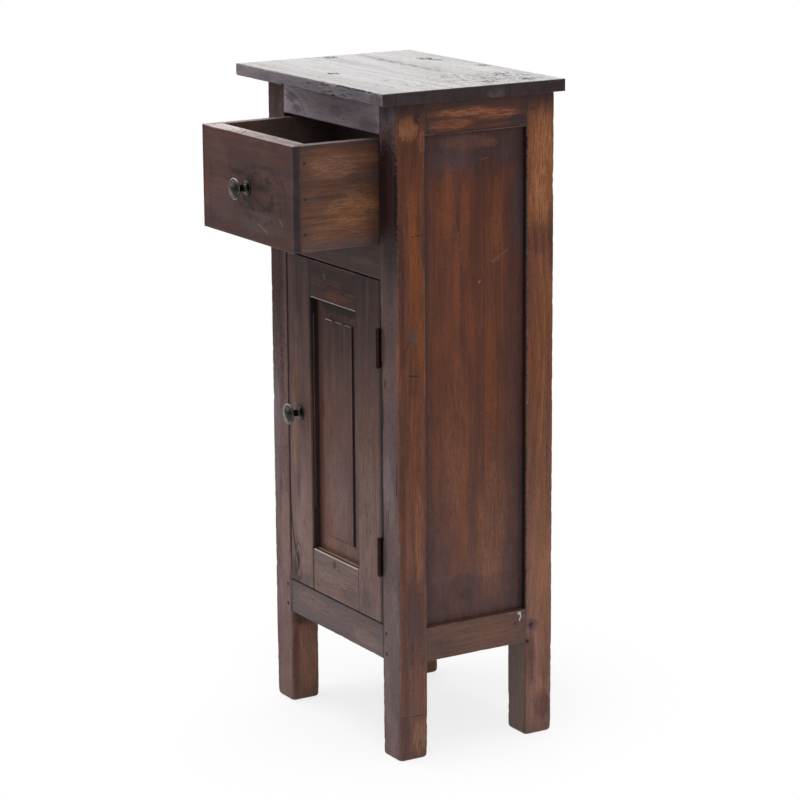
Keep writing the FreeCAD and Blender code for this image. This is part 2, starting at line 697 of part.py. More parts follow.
def make_door():
    """Stiles full height, rails tenoned between them, a raised panel in the groove, and the knob."""
    ring = door_frame_ring()
    groove = block(pane_left - door_groove_depth, pane_right + door_groove_depth, door_groove_front,
                   door_groove_back, pane_bottom - door_groove_depth, pane_top + door_groove_depth)
    middle = (door_groove_front + door_groove_back) / 2
    half = door_tenon_thickness / 2

    def tenons(z0, z1, extra):
        reach = door_tenon_length + extra
        shoulder = door_groove_depth + tenon_to_groove
        low, high = z0 + shoulder, z1 - shoulder
        return [block(pane_left - reach, pane_left, middle - half, middle + half, low, high),
                block(pane_right, pane_right + reach, middle - half, middle + half, low, high)]
    rails = {"door_top_rail": (pane_top, door_top), "door_bottom_rail": (door_bottom, pane_bottom)}
    mortises = [m for z0, z1 in rails.values() for m in tenons(z0, z1, mortise_relief)]
    for name, (z0, z1) in rails.items():
        rail = ring.common(block(pane_left, pane_right, door_face, door_back, z0, z1)).cut(groove)
        save(name, rail.fuse(tenons(z0, z1, 0)).removeSplitter())

    screw = knob_screw(door_knob_x, door_face, door_back, door_knob_height)
    left = ring.common(block(door_left, pane_left, door_face, door_back, door_bottom, door_top))
    save("door_stile_left", left.cut([groove, screw] + mortises))
    fittings = [cutter for one in hinges.values() for cutter in [one["door_bed"]] + one["door_screws"]]
    right = ring.common(block(pane_right, door_right, door_face, door_back, door_bottom, door_top))
    save("door_stile_right", right.cut([groove] + mortises + fittings))
    save("door_panel", raised_panel())
    save("door_knob", knob(door_knob_x, door_face, door_knob_height).cut(screw))
    save("door_knob_screw", screw)


def make_hinges_and_catch():
    """Hinge pieces, their screws in two groups, the magnetic catch and its strike plate."""
    for place, one in hinges.items():
        save(place + "_hinge_post_leaf", one["post_leaf"])
        save(place + "_hinge_door_leaf", one["door_leaf"])
        save(place + "_hinge_pin", one["pin"])
    save("hinge_screws_post", *[screw for one in hinges.values() for screw in one["post_screws"]])
    save("hinge_screws_door", *[screw for one in hinges.values() for screw in one["door_screws"]])
    catch_front = door_back + strike_thickness + catch_gap
    low = catch_centre_height - catch_height / 2
    save("door_catch", eased(block(-post_in, -post_in + catch_width, catch_front, catch_front + catch_depth,
                                   low, low + catch_height), rail_edge_radius, "z"))
    strike_low = catch_centre_height - strike_height / 2
    save("door_strike_plate", block(door_left, door_left + strike_width, door_back,
                                    door_back + strike_thickness, strike_low, strike_low + strike_height))


make_posts()
make_rails()
make_panels_and_pegs()
make_tabletop()
make_inside()
make_drawer()
make_door()
make_hinges_and_catch()
print(len(saved), "nodes;", "hinge axis x %.2f, y %.2f" % (hinge_axis_x, hinge_axis_y - origin_y))
print("origin is %.2f mm behind the front face of the posts" % origin_y)
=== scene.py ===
# %% [markdown]
# # A narrow side table with a drawer and a door
# The real table is a small case on four legs, made of solid boards under a dark red-brown stain and a thin
# varnish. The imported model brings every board, hinge and screw at its real size and place. This script gives
# the boards their worn edges, grain, stain and marks, and then sets up the floor, the light and the camera.

import json
from math import ceil, cos, pi, radians, sin

import bpy
import numpy as np
from mathutils import Matrix, Vector


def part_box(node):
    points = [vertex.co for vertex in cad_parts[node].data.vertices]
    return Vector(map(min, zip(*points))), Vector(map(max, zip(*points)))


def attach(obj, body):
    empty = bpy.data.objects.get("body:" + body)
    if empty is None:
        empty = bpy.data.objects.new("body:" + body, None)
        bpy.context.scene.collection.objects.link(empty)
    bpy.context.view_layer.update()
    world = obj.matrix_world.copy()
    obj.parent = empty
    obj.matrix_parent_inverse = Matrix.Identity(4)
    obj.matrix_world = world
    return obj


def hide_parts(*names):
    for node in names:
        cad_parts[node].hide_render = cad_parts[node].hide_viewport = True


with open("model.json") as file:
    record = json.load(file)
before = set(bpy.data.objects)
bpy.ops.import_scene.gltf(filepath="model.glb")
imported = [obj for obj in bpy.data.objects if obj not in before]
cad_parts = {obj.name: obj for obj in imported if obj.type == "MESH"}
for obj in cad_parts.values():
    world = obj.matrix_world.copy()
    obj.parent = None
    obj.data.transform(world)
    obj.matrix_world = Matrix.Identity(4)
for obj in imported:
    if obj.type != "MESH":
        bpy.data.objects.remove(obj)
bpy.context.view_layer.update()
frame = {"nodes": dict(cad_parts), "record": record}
nodes = frame["nodes"]
MM = 0.001


# %% [markdown]
# ## Camera
# A long lens from a little above, turned so that the front and the right side both show. Its place is worked
# out from two angles, a small roll and a distance, so that each can be changed by itself.

# %% Place the camera
view_turn = radians(58.82)  # from straight in front, round to the right side
view_drop = radians(13.49)  # how far it looks down
view_roll = radians(-0.40)
view_distance = 4.0673
view_target = Vector((-0.02503, 0.07335, 0.44332))
view_lens = 133.26  # mm, on a sensor 36 mm wide

to_camera = Vector((sin(view_turn) * cos(view_drop), -cos(view_turn) * cos(view_drop), sin(view_drop)))
level_right = Vector((cos(view_turn), sin(view_turn), 0))
level_up = to_camera.cross(level_right)
camera_right = level_right * cos(view_roll) + level_up * sin(view_roll)
camera_up = to_camera.cross(camera_right)

camera = bpy.data.objects.new("camera", bpy.data.cameras.new("camera"))
camera.data.lens = view_lens
camera.data.sensor_width = 36
camera.data.clip_end = 100
turned = Matrix((camera_right, camera_up, to_camera)).transposed().to_4x4()
camera.matrix_world = Matrix.Translation(view_target + to_camera * view_distance) @ turned
bpy.context.scene.collection.objects.link(camera)
bpy.context.scene.camera = camera
bpy.context.scene.view_settings.view_transform = "Standard"
print("camera at", [round(value, 3) for value in camera.matrix_world.translation])


# %% [markdown]
# ## Writing shader nodes in short words
# Every finish below is a tree of shader nodes. This helper adds one node per call and gives back its output,
# so that a tree reads like a sum: numbers are written on the inputs, and outputs of other nodes are linked.

# %% A helper for shader trees
class Graph:
    """Adds nodes to one shader tree. Each method gives back the output socket of the node that it added."""

    def __init__(self, tree):
        self.tree = tree

    def feed(self, socket, value):
        if isinstance(value, bpy.types.NodeSocket):
            self.tree.links.new(value, socket)
        elif socket.type == "RGBA" and len(value) == 3:
            socket.default_value = (*value, 1.0)
        else:
            socket.default_value = value

    def add(self, kind, inputs=None, output=0, **settings):
        node = self.tree.nodes.new(kind)
        for name, value in settings.items():
            setattr(node, name, value)
        for key, value in (inputs or {}).items():
            self.feed(node.inputs[key], value)
        return node.outputs[output]

    def math(self, operation, a, b=0.0, clamp=False):
        return self.add("ShaderNodeMath", {0: a, 1: b}, operation=operation, use_clamp=clamp)

    def vector(self, operation, a, b=(0, 0, 0), output="Vector"):
        return self.add("ShaderNodeVectorMath", {0: a, 1: b}, output, operation=operation)

    def plus(self, a, b):
        return self.math("ADD", a, b)

    def minus(self, a, b):
        return self.math("SUBTRACT", a, b)

    def times(self, product, *factors):
        for factor in factors:
            product = self.math("MULTIPLY", product, factor)
        return product

    def over(self, a, b):
        return self.math("DIVIDE", a, b)

    def length(self, vector):
        return self.vector("LENGTH", vector, output="Value")

    def scaled(self, vector, size):
        return self.add("ShaderNodeVectorMath", {0: vector, "Scale": size}, operation="SCALE")

    def drawn(self, vector, share):
        return self.vector("MULTIPLY", vector, (share, 1, 1))

    def mix(self, share, a, b, blend="MIX"):
        return self.add("ShaderNodeMix", {0: share, 6: a, 7: b}, 2, data_type="RGBA", blend_type=blend)

    def blend(self, share, a, b):
        return self.add("ShaderNodeMix", {0: share, 2: a, 3: b}, 0, data_type="FLOAT")

    def span(self, value, low, high, to_low=0.0, to_high=1.0, smooth=True):
        shape = "SMOOTHSTEP" if smooth else "LINEAR"
        inputs = {0: value, 1: low, 2: high, 3: to_low, 4: to_high}
        return self.add("ShaderNodeMapRange", inputs, interpolation_type=shape)

    def noise(self, place, scale, detail=2.0, roughness=0.5):
        inputs = {"Vector": place, "Scale": scale, "Detail": detail, "Roughness": roughness}
        return self.add("ShaderNodeTexNoise", inputs)

    def parts(self, vector):
        node = self.add("ShaderNodeSeparateXYZ", {0: vector}).node
        return node.outputs[0], node.outputs[1], node.outputs[2]

    def group(self, group, inputs):
        node = self.tree.nodes.new("ShaderNodeGroup")
        node.node_tree = group
        for key, value in inputs.items():
            self.feed(node.inputs[key], value)
        return node.outputs


def new_group(name, inputs, outputs):
    """A node group with named inputs and outputs: its Graph, its input sockets and its output sockets."""
    tree = bpy.data.node_groups.new(name, "ShaderNodeTree")
    for label, kind in inputs.items():
        tree.interface.new_socket(label, in_out="INPUT", socket_type=f"NodeSocket{kind}")
    for label, kind in outputs.items():
        tree.interface.new_socket(label, in_out="OUTPUT", socket_type=f"NodeSocket{kind}")
    ends = tree.nodes.new("NodeGroupInput").outputs, tree.nodes.new("NodeGroupOutput").inputs
    return Graph(tree), *ends


def new_material(name):
    """An empty material: its Graph, its Principled shader and the material."""
    material = bpy.data.materials.new(name)
    material.use_nodes = True
    return Graph(material.node_tree), material.node_tree.nodes["Principled BSDF"], material


print("shader helper ready")


# %% [markdown]
# ## Light, background and floor
# A white room lights the table evenly, and four large, weak lamps give it shape. One hangs above and leaves
# a soft shadow on the floor. Two stand on the left, where the top and the front catch their reflections, and
# one on the right. The floor and the world turn plain white where the camera or a reflection sees them.

# %% World and floor
def white_where_seen(graph, kind, lit, camera_share, gloss_share):
    """Blends a surface with plain white of the given kind of shader: at one share where the camera sees it,
    and at another where gloss or glass does."""
    path = graph.tree.nodes.new("ShaderNodeLightPath")
    gloss = graph.math("MAXIMUM", path.outputs["Is Glossy Ray"], path.outputs["Is Transmission Ray"])
    in_camera = graph.times(path.outputs["Is Camera Ray"], camera_share)
    share = graph.math("MAXIMUM", in_camera, graph.times(gloss, gloss_share))
    plain = graph.add(kind, {"Color": (1, 1, 1), "Strength": 1.0})
    return graph.add("ShaderNodeMixShader", {0: share, 1: lit, 2: plain})


room_light = 0.35
world = bpy.data.worlds.new("white room")
world.use_nodes = True
world.node_tree.nodes.clear()
room = Graph(world.node_tree)
walls = room.add("ShaderNodeBackground", {"Color": (1.0, 0.995, 0.99), "Strength": room_light})
sky = world.node_tree.nodes.new("ShaderNodeOutputWorld")
room.feed(sky.inputs[0], white_where_seen(room, "ShaderNodeBackground", walls, 1.0, 0.1))
bpy.context.scene.world = world

floor_size = 30.0
floor_mesh = bpy.data.meshes.new("floor")
corners = floor_size / 2 * np.array([(-1, -1, 0), (1, -1, 0), (1, 1, 0), (-1, 1, 0)])
floor_mesh.from_pydata(corners.tolist(), [], [(0, 1, 2, 3)])
floor = bpy.data.objects.new("floor", floor_mesh)
bpy.context.scene.collection.objects.link(floor)

paint, _, floor_white = new_material("floor_white")
floor_white.node_tree.nodes.clear()
matt = paint.add("ShaderNodeBsdfDiffuse", {"Color": (0.9, 0.9, 0.9)})
shadow_middle = (-0.16, 0.04, 0)
shadow_core, shadow_rim, shadow_white = 0.22, 0.54, 0.78  # within the core, the floor is only 0.78 white
gloss_near, gloss_far, gloss_white = 1.1, 2.6, 0.9  # reflections of the floor are white near the table
place = paint.add("ShaderNodeTexCoord", output="Object")
from_table = paint.length(place)
from_shadow = paint.vector("DISTANCE", place, shadow_middle, output="Value")
in_view = paint.span(from_shadow, shadow_core, shadow_rim, shadow_white, 1.0)
in_gloss = paint.span(from_table, gloss_near, gloss_far, gloss_white, 0.0)
surface = paint.tree.nodes.new("ShaderNodeOutputMaterial")
white = white_where_seen(paint, "ShaderNodeEmission", matt, in_view, in_gloss)
paint.feed(surface.inputs[0], white)
floor_mesh.materials.append(floor_white)
print("floor", floor_size, "m across")


# %% Lamps
def soft_lamp(name, place, aim, width, height, brightness):
    """A rectangular lamp that the camera doesn't see. Brightness 1 looks as bright as white paper, so its
    power is brightness times its area times pi."""
    lamp = bpy.data.lights.new(name, "AREA")
    lamp.shape = "RECTANGLE"
    lamp.size, lamp.size_y = width, height
    lamp.energy = brightness * width * height * pi
    holder = bpy.data.objects.new(name, lamp)
    holder.location = place
    holder.rotation_euler = (Vector(aim) - Vector(place)).to_track_quat("-Z", "Y").to_euler()
    holder.visible_camera = False
    bpy.context.scene.collection.objects.link(holder)


lamps = {  # place, height of the point that it aims at, width, height, brightness
    "lamp_above": ((-0.3, -0.3, 2.7), 0, 2.4, 2.4, 3.4),
    "lamp_back_left": ((-2.9, 1.6, 0.95), 0.8, 2.6, 1.7, 1.5),
    "lamp_front_left": ((-2.3, -2.1, 1.9), 0.6, 3.1, 2.3, 1.43),
    "lamp_right": ((2.6, -0.9, 1.9), 0.4, 2.4, 2.2, 1.26),
}
for name, (place, aim_height, *rest) in lamps.items():
    soft_lamp(name, place, (0, 0, aim_height), *rest)
print(len(lamps), "lamps")


# %% [markdown]
# ## Grain
# A board is cut from a log, so its grain is growth rings round a pith that lies outside the board. The group
# measures the distance from that pith and turns it into rings, with a slow sway along the board. Long thin
# noise adds streaks, fibres and open pores. All of it reads board coordinates: x runs along the grain.

# %% Group: the grain of one board
def make_grain():
    """Rings: the distance from the pith over the ring width, cut to its fraction, dark near each ring's end.
    Two noises drawn out along the grain shift that distance, so that rings wander and close into flames.
    Streaks, Fibres and Pores: noise drawn out along the grain, from broad and long to fine and short."""
    inputs = {"Board": "Vector", "Pith": "Vector", "Seed": "Float", "Ring Width": "Float", "Sway": "Float"}
    outputs = {name: "Float" for name in ("Rings", "Streaks", "Mottle", "Fibres", "Pores")}
    g, given, result = new_group("grain", inputs, outputs)
    board = g.vector("ADD", given["Board"], g.scaled((3.7, 1.3, 2.1), given["Seed"]))
    slow = g.noise(g.drawn(board, 0.28), 12, 2)
    quick = g.noise(g.drawn(board, 0.09), 42, 3, 0.6)
    wander = g.plus(slow, g.times(quick, 0.55))
    sway = g.times(g.minus(wander, 0.78), given["Sway"])
    across = g.vector("MULTIPLY", g.vector("SUBTRACT", given["Board"], given["Pith"]), (0, 1, 1))
    radius = g.plus(g.length(across), sway)
    ring = g.math("FRACT", g.over(radius, given["Ring Width"]))
    late = g.times(g.span(ring, 0.1, 0.85), g.span(ring, 1.0, 0.9))
    g.feed(result["Rings"], late)
    swayed = g.drawn(board, 0.035)
    swayed = g.vector("ADD", swayed, g.scaled((0, 1, 1), g.times(sway, 0.5)))
    g.feed(result["Streaks"], g.span(g.noise(swayed, 60, 7, 0.7), 0.34, 0.70))
    mottle = g.noise(g.drawn(board, 0.4), 26, 5, 0.62)
    g.feed(result["Mottle"], g.span(mottle, 0.3, 0.7, smooth=False))
    g.feed(result["Fibres"], g.noise(g.drawn(board, 0.04), 700, 3, 0.65))
    pore_noise = g.noise(g.drawn(board, 0.07), 1300, 1)
    g.feed(result["Pores"], g.span(pore_noise, 0.60, 0.72))
    return g.tree


grain_group = make_grain()
print("group", grain_group.name)


# %% [markdown]
# ## Worn edges, stain and marks
# The arrises of the boards are rubbed paler, and stain has gathered in clouds and at the ends. One group
# measures how far a point is from the nearest arris of its board, which is the second smallest of its
# distances to the faces. Small groups draw single marks: a spot for a knot, a stroke for a scratch or a
# crack, a shade for a stretch of a board, checks for fine cracks, rings round knots and scattered specks.

# %% Group: distance from the arrises and the ends
def make_edges():
    """With a, b and c as the distances to the three pairs of faces, the second smallest is
    max(min(a, b), min(max(a, b), c))."""
    inputs = {"Board": "Vector", "Half": "Vector"}
    g, given, result = new_group("edges", inputs, {"Arris": "Float", "End": "Float"})
    inside = g.vector("SUBTRACT", given["Half"], g.vector("ABSOLUTE", given["Board"]))
    along, wide, thick = g.parts(inside)
    least, most = g.math("MINIMUM", wide, thick), g.math("MAXIMUM", wide, thick)
    g.feed(result["Arris"], g.math("MAXIMUM", least, g.math("MINIMUM", most, along)))
    g.feed(result["End"], along)
    return g.tree


edges_group = make_edges()
print("group", edges_group.name)


# %% Groups: clouds of stain and rubbed wood
def make_clouds():
    """Noise drawn out along the grain, cut so that the given share of the board is covered."""
    inputs = {"Board": "Vector", "Seed": "Float", "Size": "Float", "Share": "Float"}
    g, given, result = new_group("clouds", inputs, {"Mask": "Float"})
    moved = g.vector("ADD", given["Board"], g.scaled((1.9, 2.3, 3.1), given["Seed"]))
    noise = g.noise(g.drawn(moved, 0.3), g.over(1, given["Size"]), 3, 0.55)
    edge = g.minus(0.72, g.times(given["Share"], 0.44))
    g.feed(result["Mask"], g.span(g.minus(noise, edge), -0.13, 0.13))
    return g.tree


def make_rubbing():
    """One within the reach of an arris and nothing beyond, with the reach made uneven by noise."""
    inputs = {"Board": "Vector", "Arris": "Float", "Reach": "Float", "Seed": "Float"}
    g, given, result = new_group("rubbing", inputs, {"Mask": "Float"})
    moved = g.vector("ADD", given["Board"], g.scaled((2.9, 1.7, 0.7), given["Seed"]))
    broad = g.span(g.noise(g.drawn(moved, 0.5), 45, 3, 0.6), 0.38, 0.66)
    fine = g.noise(g.drawn(moved, 0.4), 500, 2)
    near = g.span(given["Arris"], given["Reach"], 0)
    g.feed(result["Mask"], g.times(near, g.times(broad, g.span(fine, 0.3, 0.6))))
    return g.tree


clouds_group, rubbing_group = make_clouds(), make_rubbing()
print("groups", clouds_group.name, "and", rubbing_group.name)


# %% Groups: marks with a centre
def new_mark(name, vectors, numbers=()):
    """A group for one kind of mark: its Graph, its inputs and the input of its one result, Mask."""
    inputs = {"Place": "Vector", **dict.fromkeys(vectors, "Vector"), **dict.fromkeys(numbers, "Float")}
    g, given, result = new_group(name, inputs, {"Mask": "Float"})
    return g, given, result["Mask"]


def from_centre(g, given):
    """How far the place is from the centre, divided by the size: 1 on the surface of the ellipsoid."""
    return g.length(g.vector("DIVIDE", g.vector("SUBTRACT", given["Place"], given["Centre"]), given["Size"]))


def make_spot():
    """A soft-edged ellipsoid with an uneven rim."""
    g, given, mask = new_mark("spot", ("Centre", "Size"))
    uneven = g.times(g.minus(g.noise(given["Place"], 240, 4, 0.65), 0.5), 1.1)
    g.feed(mask, g.span(g.plus(from_centre(g, given), uneven), 1.1, 0.55))
    return g.tree


def make_checks():
    """Fine cracks that follow the grain inside an ellipsoid: noise drawn out by the given stretch, of which
    only the highest peaks count."""
    g, given, mask = new_mark("checks", ("Centre", "Size", "Stretch"), ("Share",))
    inside = g.span(from_centre(g, given), 1.0, 0.6)
    noise = g.noise(g.vector("MULTIPLY", given["Place"], given["Stretch"]), 480, 3, 0.6)
    edge = g.minus(0.76, g.times(given["Share"], 0.3))
    g.feed(mask, g.times(inside, g.span(g.minus(noise, edge), 0.0, 0.03)))
    return g.tree


def make_ring():
    """A broken ellipse: how far the scaled distance from the centre is from one, compared with the width,
    where a broad noise is high enough."""
    g, given, mask = new_mark("ring", ("Centre", "Size"), ("Width", "Share"))
    uneven = g.times(g.minus(g.noise(given["Place"], 60, 3, 0.6), 0.5), 0.9)
    off = g.math("ABSOLUTE", g.minus(g.plus(from_centre(g, given), uneven), 1))
    edge = g.minus(0.68, g.times(given["Share"], 0.36))
    kept = g.span(g.minus(g.noise(given["Place"], 90, 2), edge), 0.0, 0.08)
    g.feed(mask, g.times(g.span(off, given["Width"], g.times(given["Width"], 0.4)), kept))
    return g.tree


def make_specks():
    """Small dots inside an ellipsoid: the distance to the nearest scattered point, compared with the size,
    for the share of points that count."""
    g, given, mask = new_mark("specks", ("Centre", "Size"), ("Spacing", "Share", "Dot"))
    inside = g.math("LESS_THAN", from_centre(g, given), 1)
    shaken = g.noise(given["Place"], 900, 2)
    scale = g.over(1, given["Spacing"])
    cells = g.add("ShaderNodeTexVoronoi", {"Vector": given["Place"], "Scale": scale}).node
    lucky = g.math("LESS_THAN", g.parts(cells.outputs["Color"])[0], given["Share"])
    dot = g.over(g.times(given["Dot"], g.span(shaken, 0.3, 0.7, 0.2, 1.6)), given["Spacing"])
    near = g.span(g.over(cells.outputs["Distance"], dot), 1.0, 0.6)
    g.feed(mask, g.times(near, g.times(lucky, inside)))
    return g.tree


mark_groups = {"spot": make_spot(), "checks": make_checks(), "ring": make_ring(), "specks": make_specks()}
print("groups for marks:", ", ".join(mark_groups))


# %% Groups: strokes and shades
def make_stroke():
    """A line from start to end: the distance to its nearest point, compared with its width."""
    g, given, mask = new_mark("stroke", ("Start", "End"), ("Width",))
    run = g.vector("SUBTRACT", given["End"], given["Start"])
    reach = g.vector("SUBTRACT", given["Place"], given["Start"])
    forward = g.vector("DOT_PRODUCT", reach, run, "Value")
    share = g.math("DIVIDE", forward, g.vector("DOT_PRODUCT", run, run, "Value"), clamp=True)
    off = g.length(g.vector("SUBTRACT", reach, g.scaled(run, share)))
    uneven = g.plus(g.times(g.noise(given["Place"], 420, 2), 1.2), 0.4)
    g.feed(mask, g.span(g.over(off, g.times(given["Width"], uneven)), 0.6, 0.35))
    return g.tree


def make_shade():
    """A slope along a direction: nothing at start, full at end, with a ragged front."""
    g, given, mask = new_mark("shade", ("Direction",), ("Start", "End", "Ragged"))
    along = g.vector("DOT_PRODUCT", given["Place"], given["Direction"], "Value")
    uneven = g.minus(g.noise(given["Place"], 38, 4, 0.6), 0.5)
    along = g.plus(along, g.times(uneven, given["Ragged"]))
    g.feed(mask, g.span(along, given["Start"], given["End"]))
    return g.tree


mark_groups.update(stroke=make_stroke(), shade=make_shade())
print("groups for marks:", ", ".join(mark_groups))


# %% Colours of the marks
tar = (0.010, 0.007, 0.008)
plum = (0.030, 0.017, 0.021)
slate = (0.060, 0.048, 0.056)
# pale violet grey: a bloom of old varnish, and on front faces a painted sheen of reflected light
bloom_and_sheen = (0.155, 0.134, 0.150)
rust = (0.26, 0.075, 0.018)
amber = (0.30, 0.130, 0.050)
pale = (0.42, 0.33, 0.27)
chalk = (0.80, 0.76, 0.68)
flame = (0.020, 0.013, 0.015)
print("darkest", tar, "and palest", chalk)


# %% Marks in short words
def point(x, y, z):
    """A place given in mm, in metres."""
    return (x * MM, y * MM, z * MM)


def area(centre, size, **more):
    """The inputs of a mark round a centre."""
    return {"Centre": point(*centre), "Size": point(*size), **more}


def spot(centre, size, colour=tar, amount=0.9, film=0.0):
    """A knot, stain or bruise, and in places painted shadow, floor light or sheen, at a centre in mm with
    three half sizes in mm.
    """
    return "spot", colour, amount, film, area(centre, size)


def stroke(start, end, width, colour=tar, amount=0.9, film=0.0):
    """A scratch, crack or saw cut between two points, in mm; on the door's beads also painted highlights and
    shadow lines.
    """
    places = {"Start": point(*start), "End": point(*end), "Width": width * MM}
    return "stroke", colour, amount, film, places


def line(points, width, colour=tar, amount=0.9, film=0.0):
    """Strokes from each point to the next."""
    return [stroke(start, end, width, colour, amount, film) for start, end in zip(points, points[1:])]


def shade(direction, start, end, colour=plum, amount=0.8, ragged=20, film=None):
    """Colour that deepens along a direction, from one distance from the origin to another, in mm: stain, and
    in places painted shadow and painted floor light.
    """
    spans = {"Start": start * MM, "End": end * MM, "Ragged": ragged * MM}
    return "shade", colour, amount, film, {"Direction": direction, **spans}


STRETCH = {"x": (0.12, 1, 1), "y": (1, 0.12, 1), "z": (1, 1, 0.12)}


def checks(centre, size, grain, share=0.5, colour=tar, amount=0.9):
    """Fine cracks along the grain, in an area given by its centre and half sizes in mm."""
    return "checks", colour, amount, 0.0, area(centre, size, Stretch=STRETCH[grain], Share=share)


def specks(centre, size, spacing=14, dot=0.7, share=0.4, colour=chalk, amount=0.85):
    """Small pale specks where the finish is knocked off, in an area given by its centre and half sizes in
    mm, with their spacing and size in mm. Along the door's left bead they are painted glints."""
    dots = area(centre, size, Spacing=spacing * MM, Dot=dot * MM, Share=share)
    return "specks", colour, amount, 0.0, dots


def ring(centre, size, width=0.1, share=0.6, colour=plum, amount=0.7):
    """Grain that turns round a knot: a broken ellipse whose width is a share of its size."""
    return "ring", colour, amount, 0.0, area(centre, size, Width=width, Share=share)


def wiped(centre, size, grain, colour, amount=0.6):
    """Where the cloth took stain off: a soft spot with streaks along the grain, in mm."""
    streaks = area(centre, size, Stretch=STRETCH[grain], Share=0.95)
    return [spot(centre, size, colour, amount * 0.5, None), ("checks", colour, amount, None, streaks)]


RIGHT, LEFT, FRONT, BACK, UP, DOWN = (1, 0, 0), (-1, 0, 0), (0, -1, 0), (0, 1, 0), (0, 0, 1), (0, 0, -1)
kinds = (spot, stroke, line, shade, checks, specks, ring, wiped)
print("marks:", ", ".join(kind.__name__ for kind in kinds))


# %% Marks on one face of a board
def marks_on(axis, at, deep=3, line_at=None, middle=(0, 0)):
    """A helper that puts marks on a flat face, square to an axis at a place on it in mm. It takes a kind of
    mark and rows of numbers in mm, in the order x, y, z without the face's own axis: for a line its points,
    one after the other, and its width, and for another mark its centre, its half sizes and the rest."""
    own = "xyz".index(axis)

    def whole(pair, value):
        return [*pair[:own], value, *pair[own:]]

    def on_face(a, b, level):
        return whole([a + middle[0], b + middle[1]], level)

    def put(kind, *rows, deep=deep, level=at if line_at is None else line_at):
        marks = []
        for row in rows:
            if kind is line:
                numbers, *rest = row
                marks += line([on_face(a, b, level) for a, b in zip(numbers[::2], numbers[1::2])], *rest)
            else:
                a, b, half_a, half_b, *rest = row
                made = kind(on_face(a, b, at), whole([half_a, half_b], deep), *rest)
                marks += made if kind is wiped else [made]
        return marks

    return put


print("a spot on the floor:", *marks_on("z", 0)(spot, (0, 0, 5, 5)))


# %% [markdown]
# ## Stained wood
# One function makes the finish of one board, from two opposite corners of the board, the direction of its
# grain, and a look. A look says how red or dark the stain is and how much the wood under it shows. A Mapping
# node moves the pattern to the board and turns it along the grain, so that no two boards share a pattern.

# %% How a board looks unless it says otherwise
TURN = {"x": (0, 0, 0), "y": (0, 0, -pi / 2), "z": (0, pi / 2, 0)}
END_REACH = 30 * MM  # how far from its ends a board drinks more stain
PORE_DARKNESS = 0.45
VARNISH_ROUGHNESS = 0.22
GRAIN_RELIEF, GRAIN_DEPTH = 0.35, 0.25 * MM

base_look = {
    "ground": (0.086, 0.025, 0.0125),  # the stained wood
    "warm": (0.190, 0.056, 0.017),  # where the stain is thin
    "deep": (0.034, 0.016, 0.016),  # where the stain has gathered
    "worn": pale,  # rubbed arrises
    "warmth": 0.60,
    "rings": 0.30,
    "soak": 0.30,
    "cloud_size": 0.07,
    "cloud": 0.65,
    "end_soak": 0.5,
    "rub": 0.45,
    "rub_reach": 2.2 * MM,
    "ring_width": 5.5 * MM,
    "sway": 0.030,
    "film": 0.0,
    "film_break": 0.0,
    "bared": 0.6,  # how much of a stain stays where the grain is open
    "fibre": 0.36,  # how much lighter and darker the fine grain is
    "gloss": 0.40,
    "roughness": 0.45,
}
print("a look has", len(base_look), "settings")


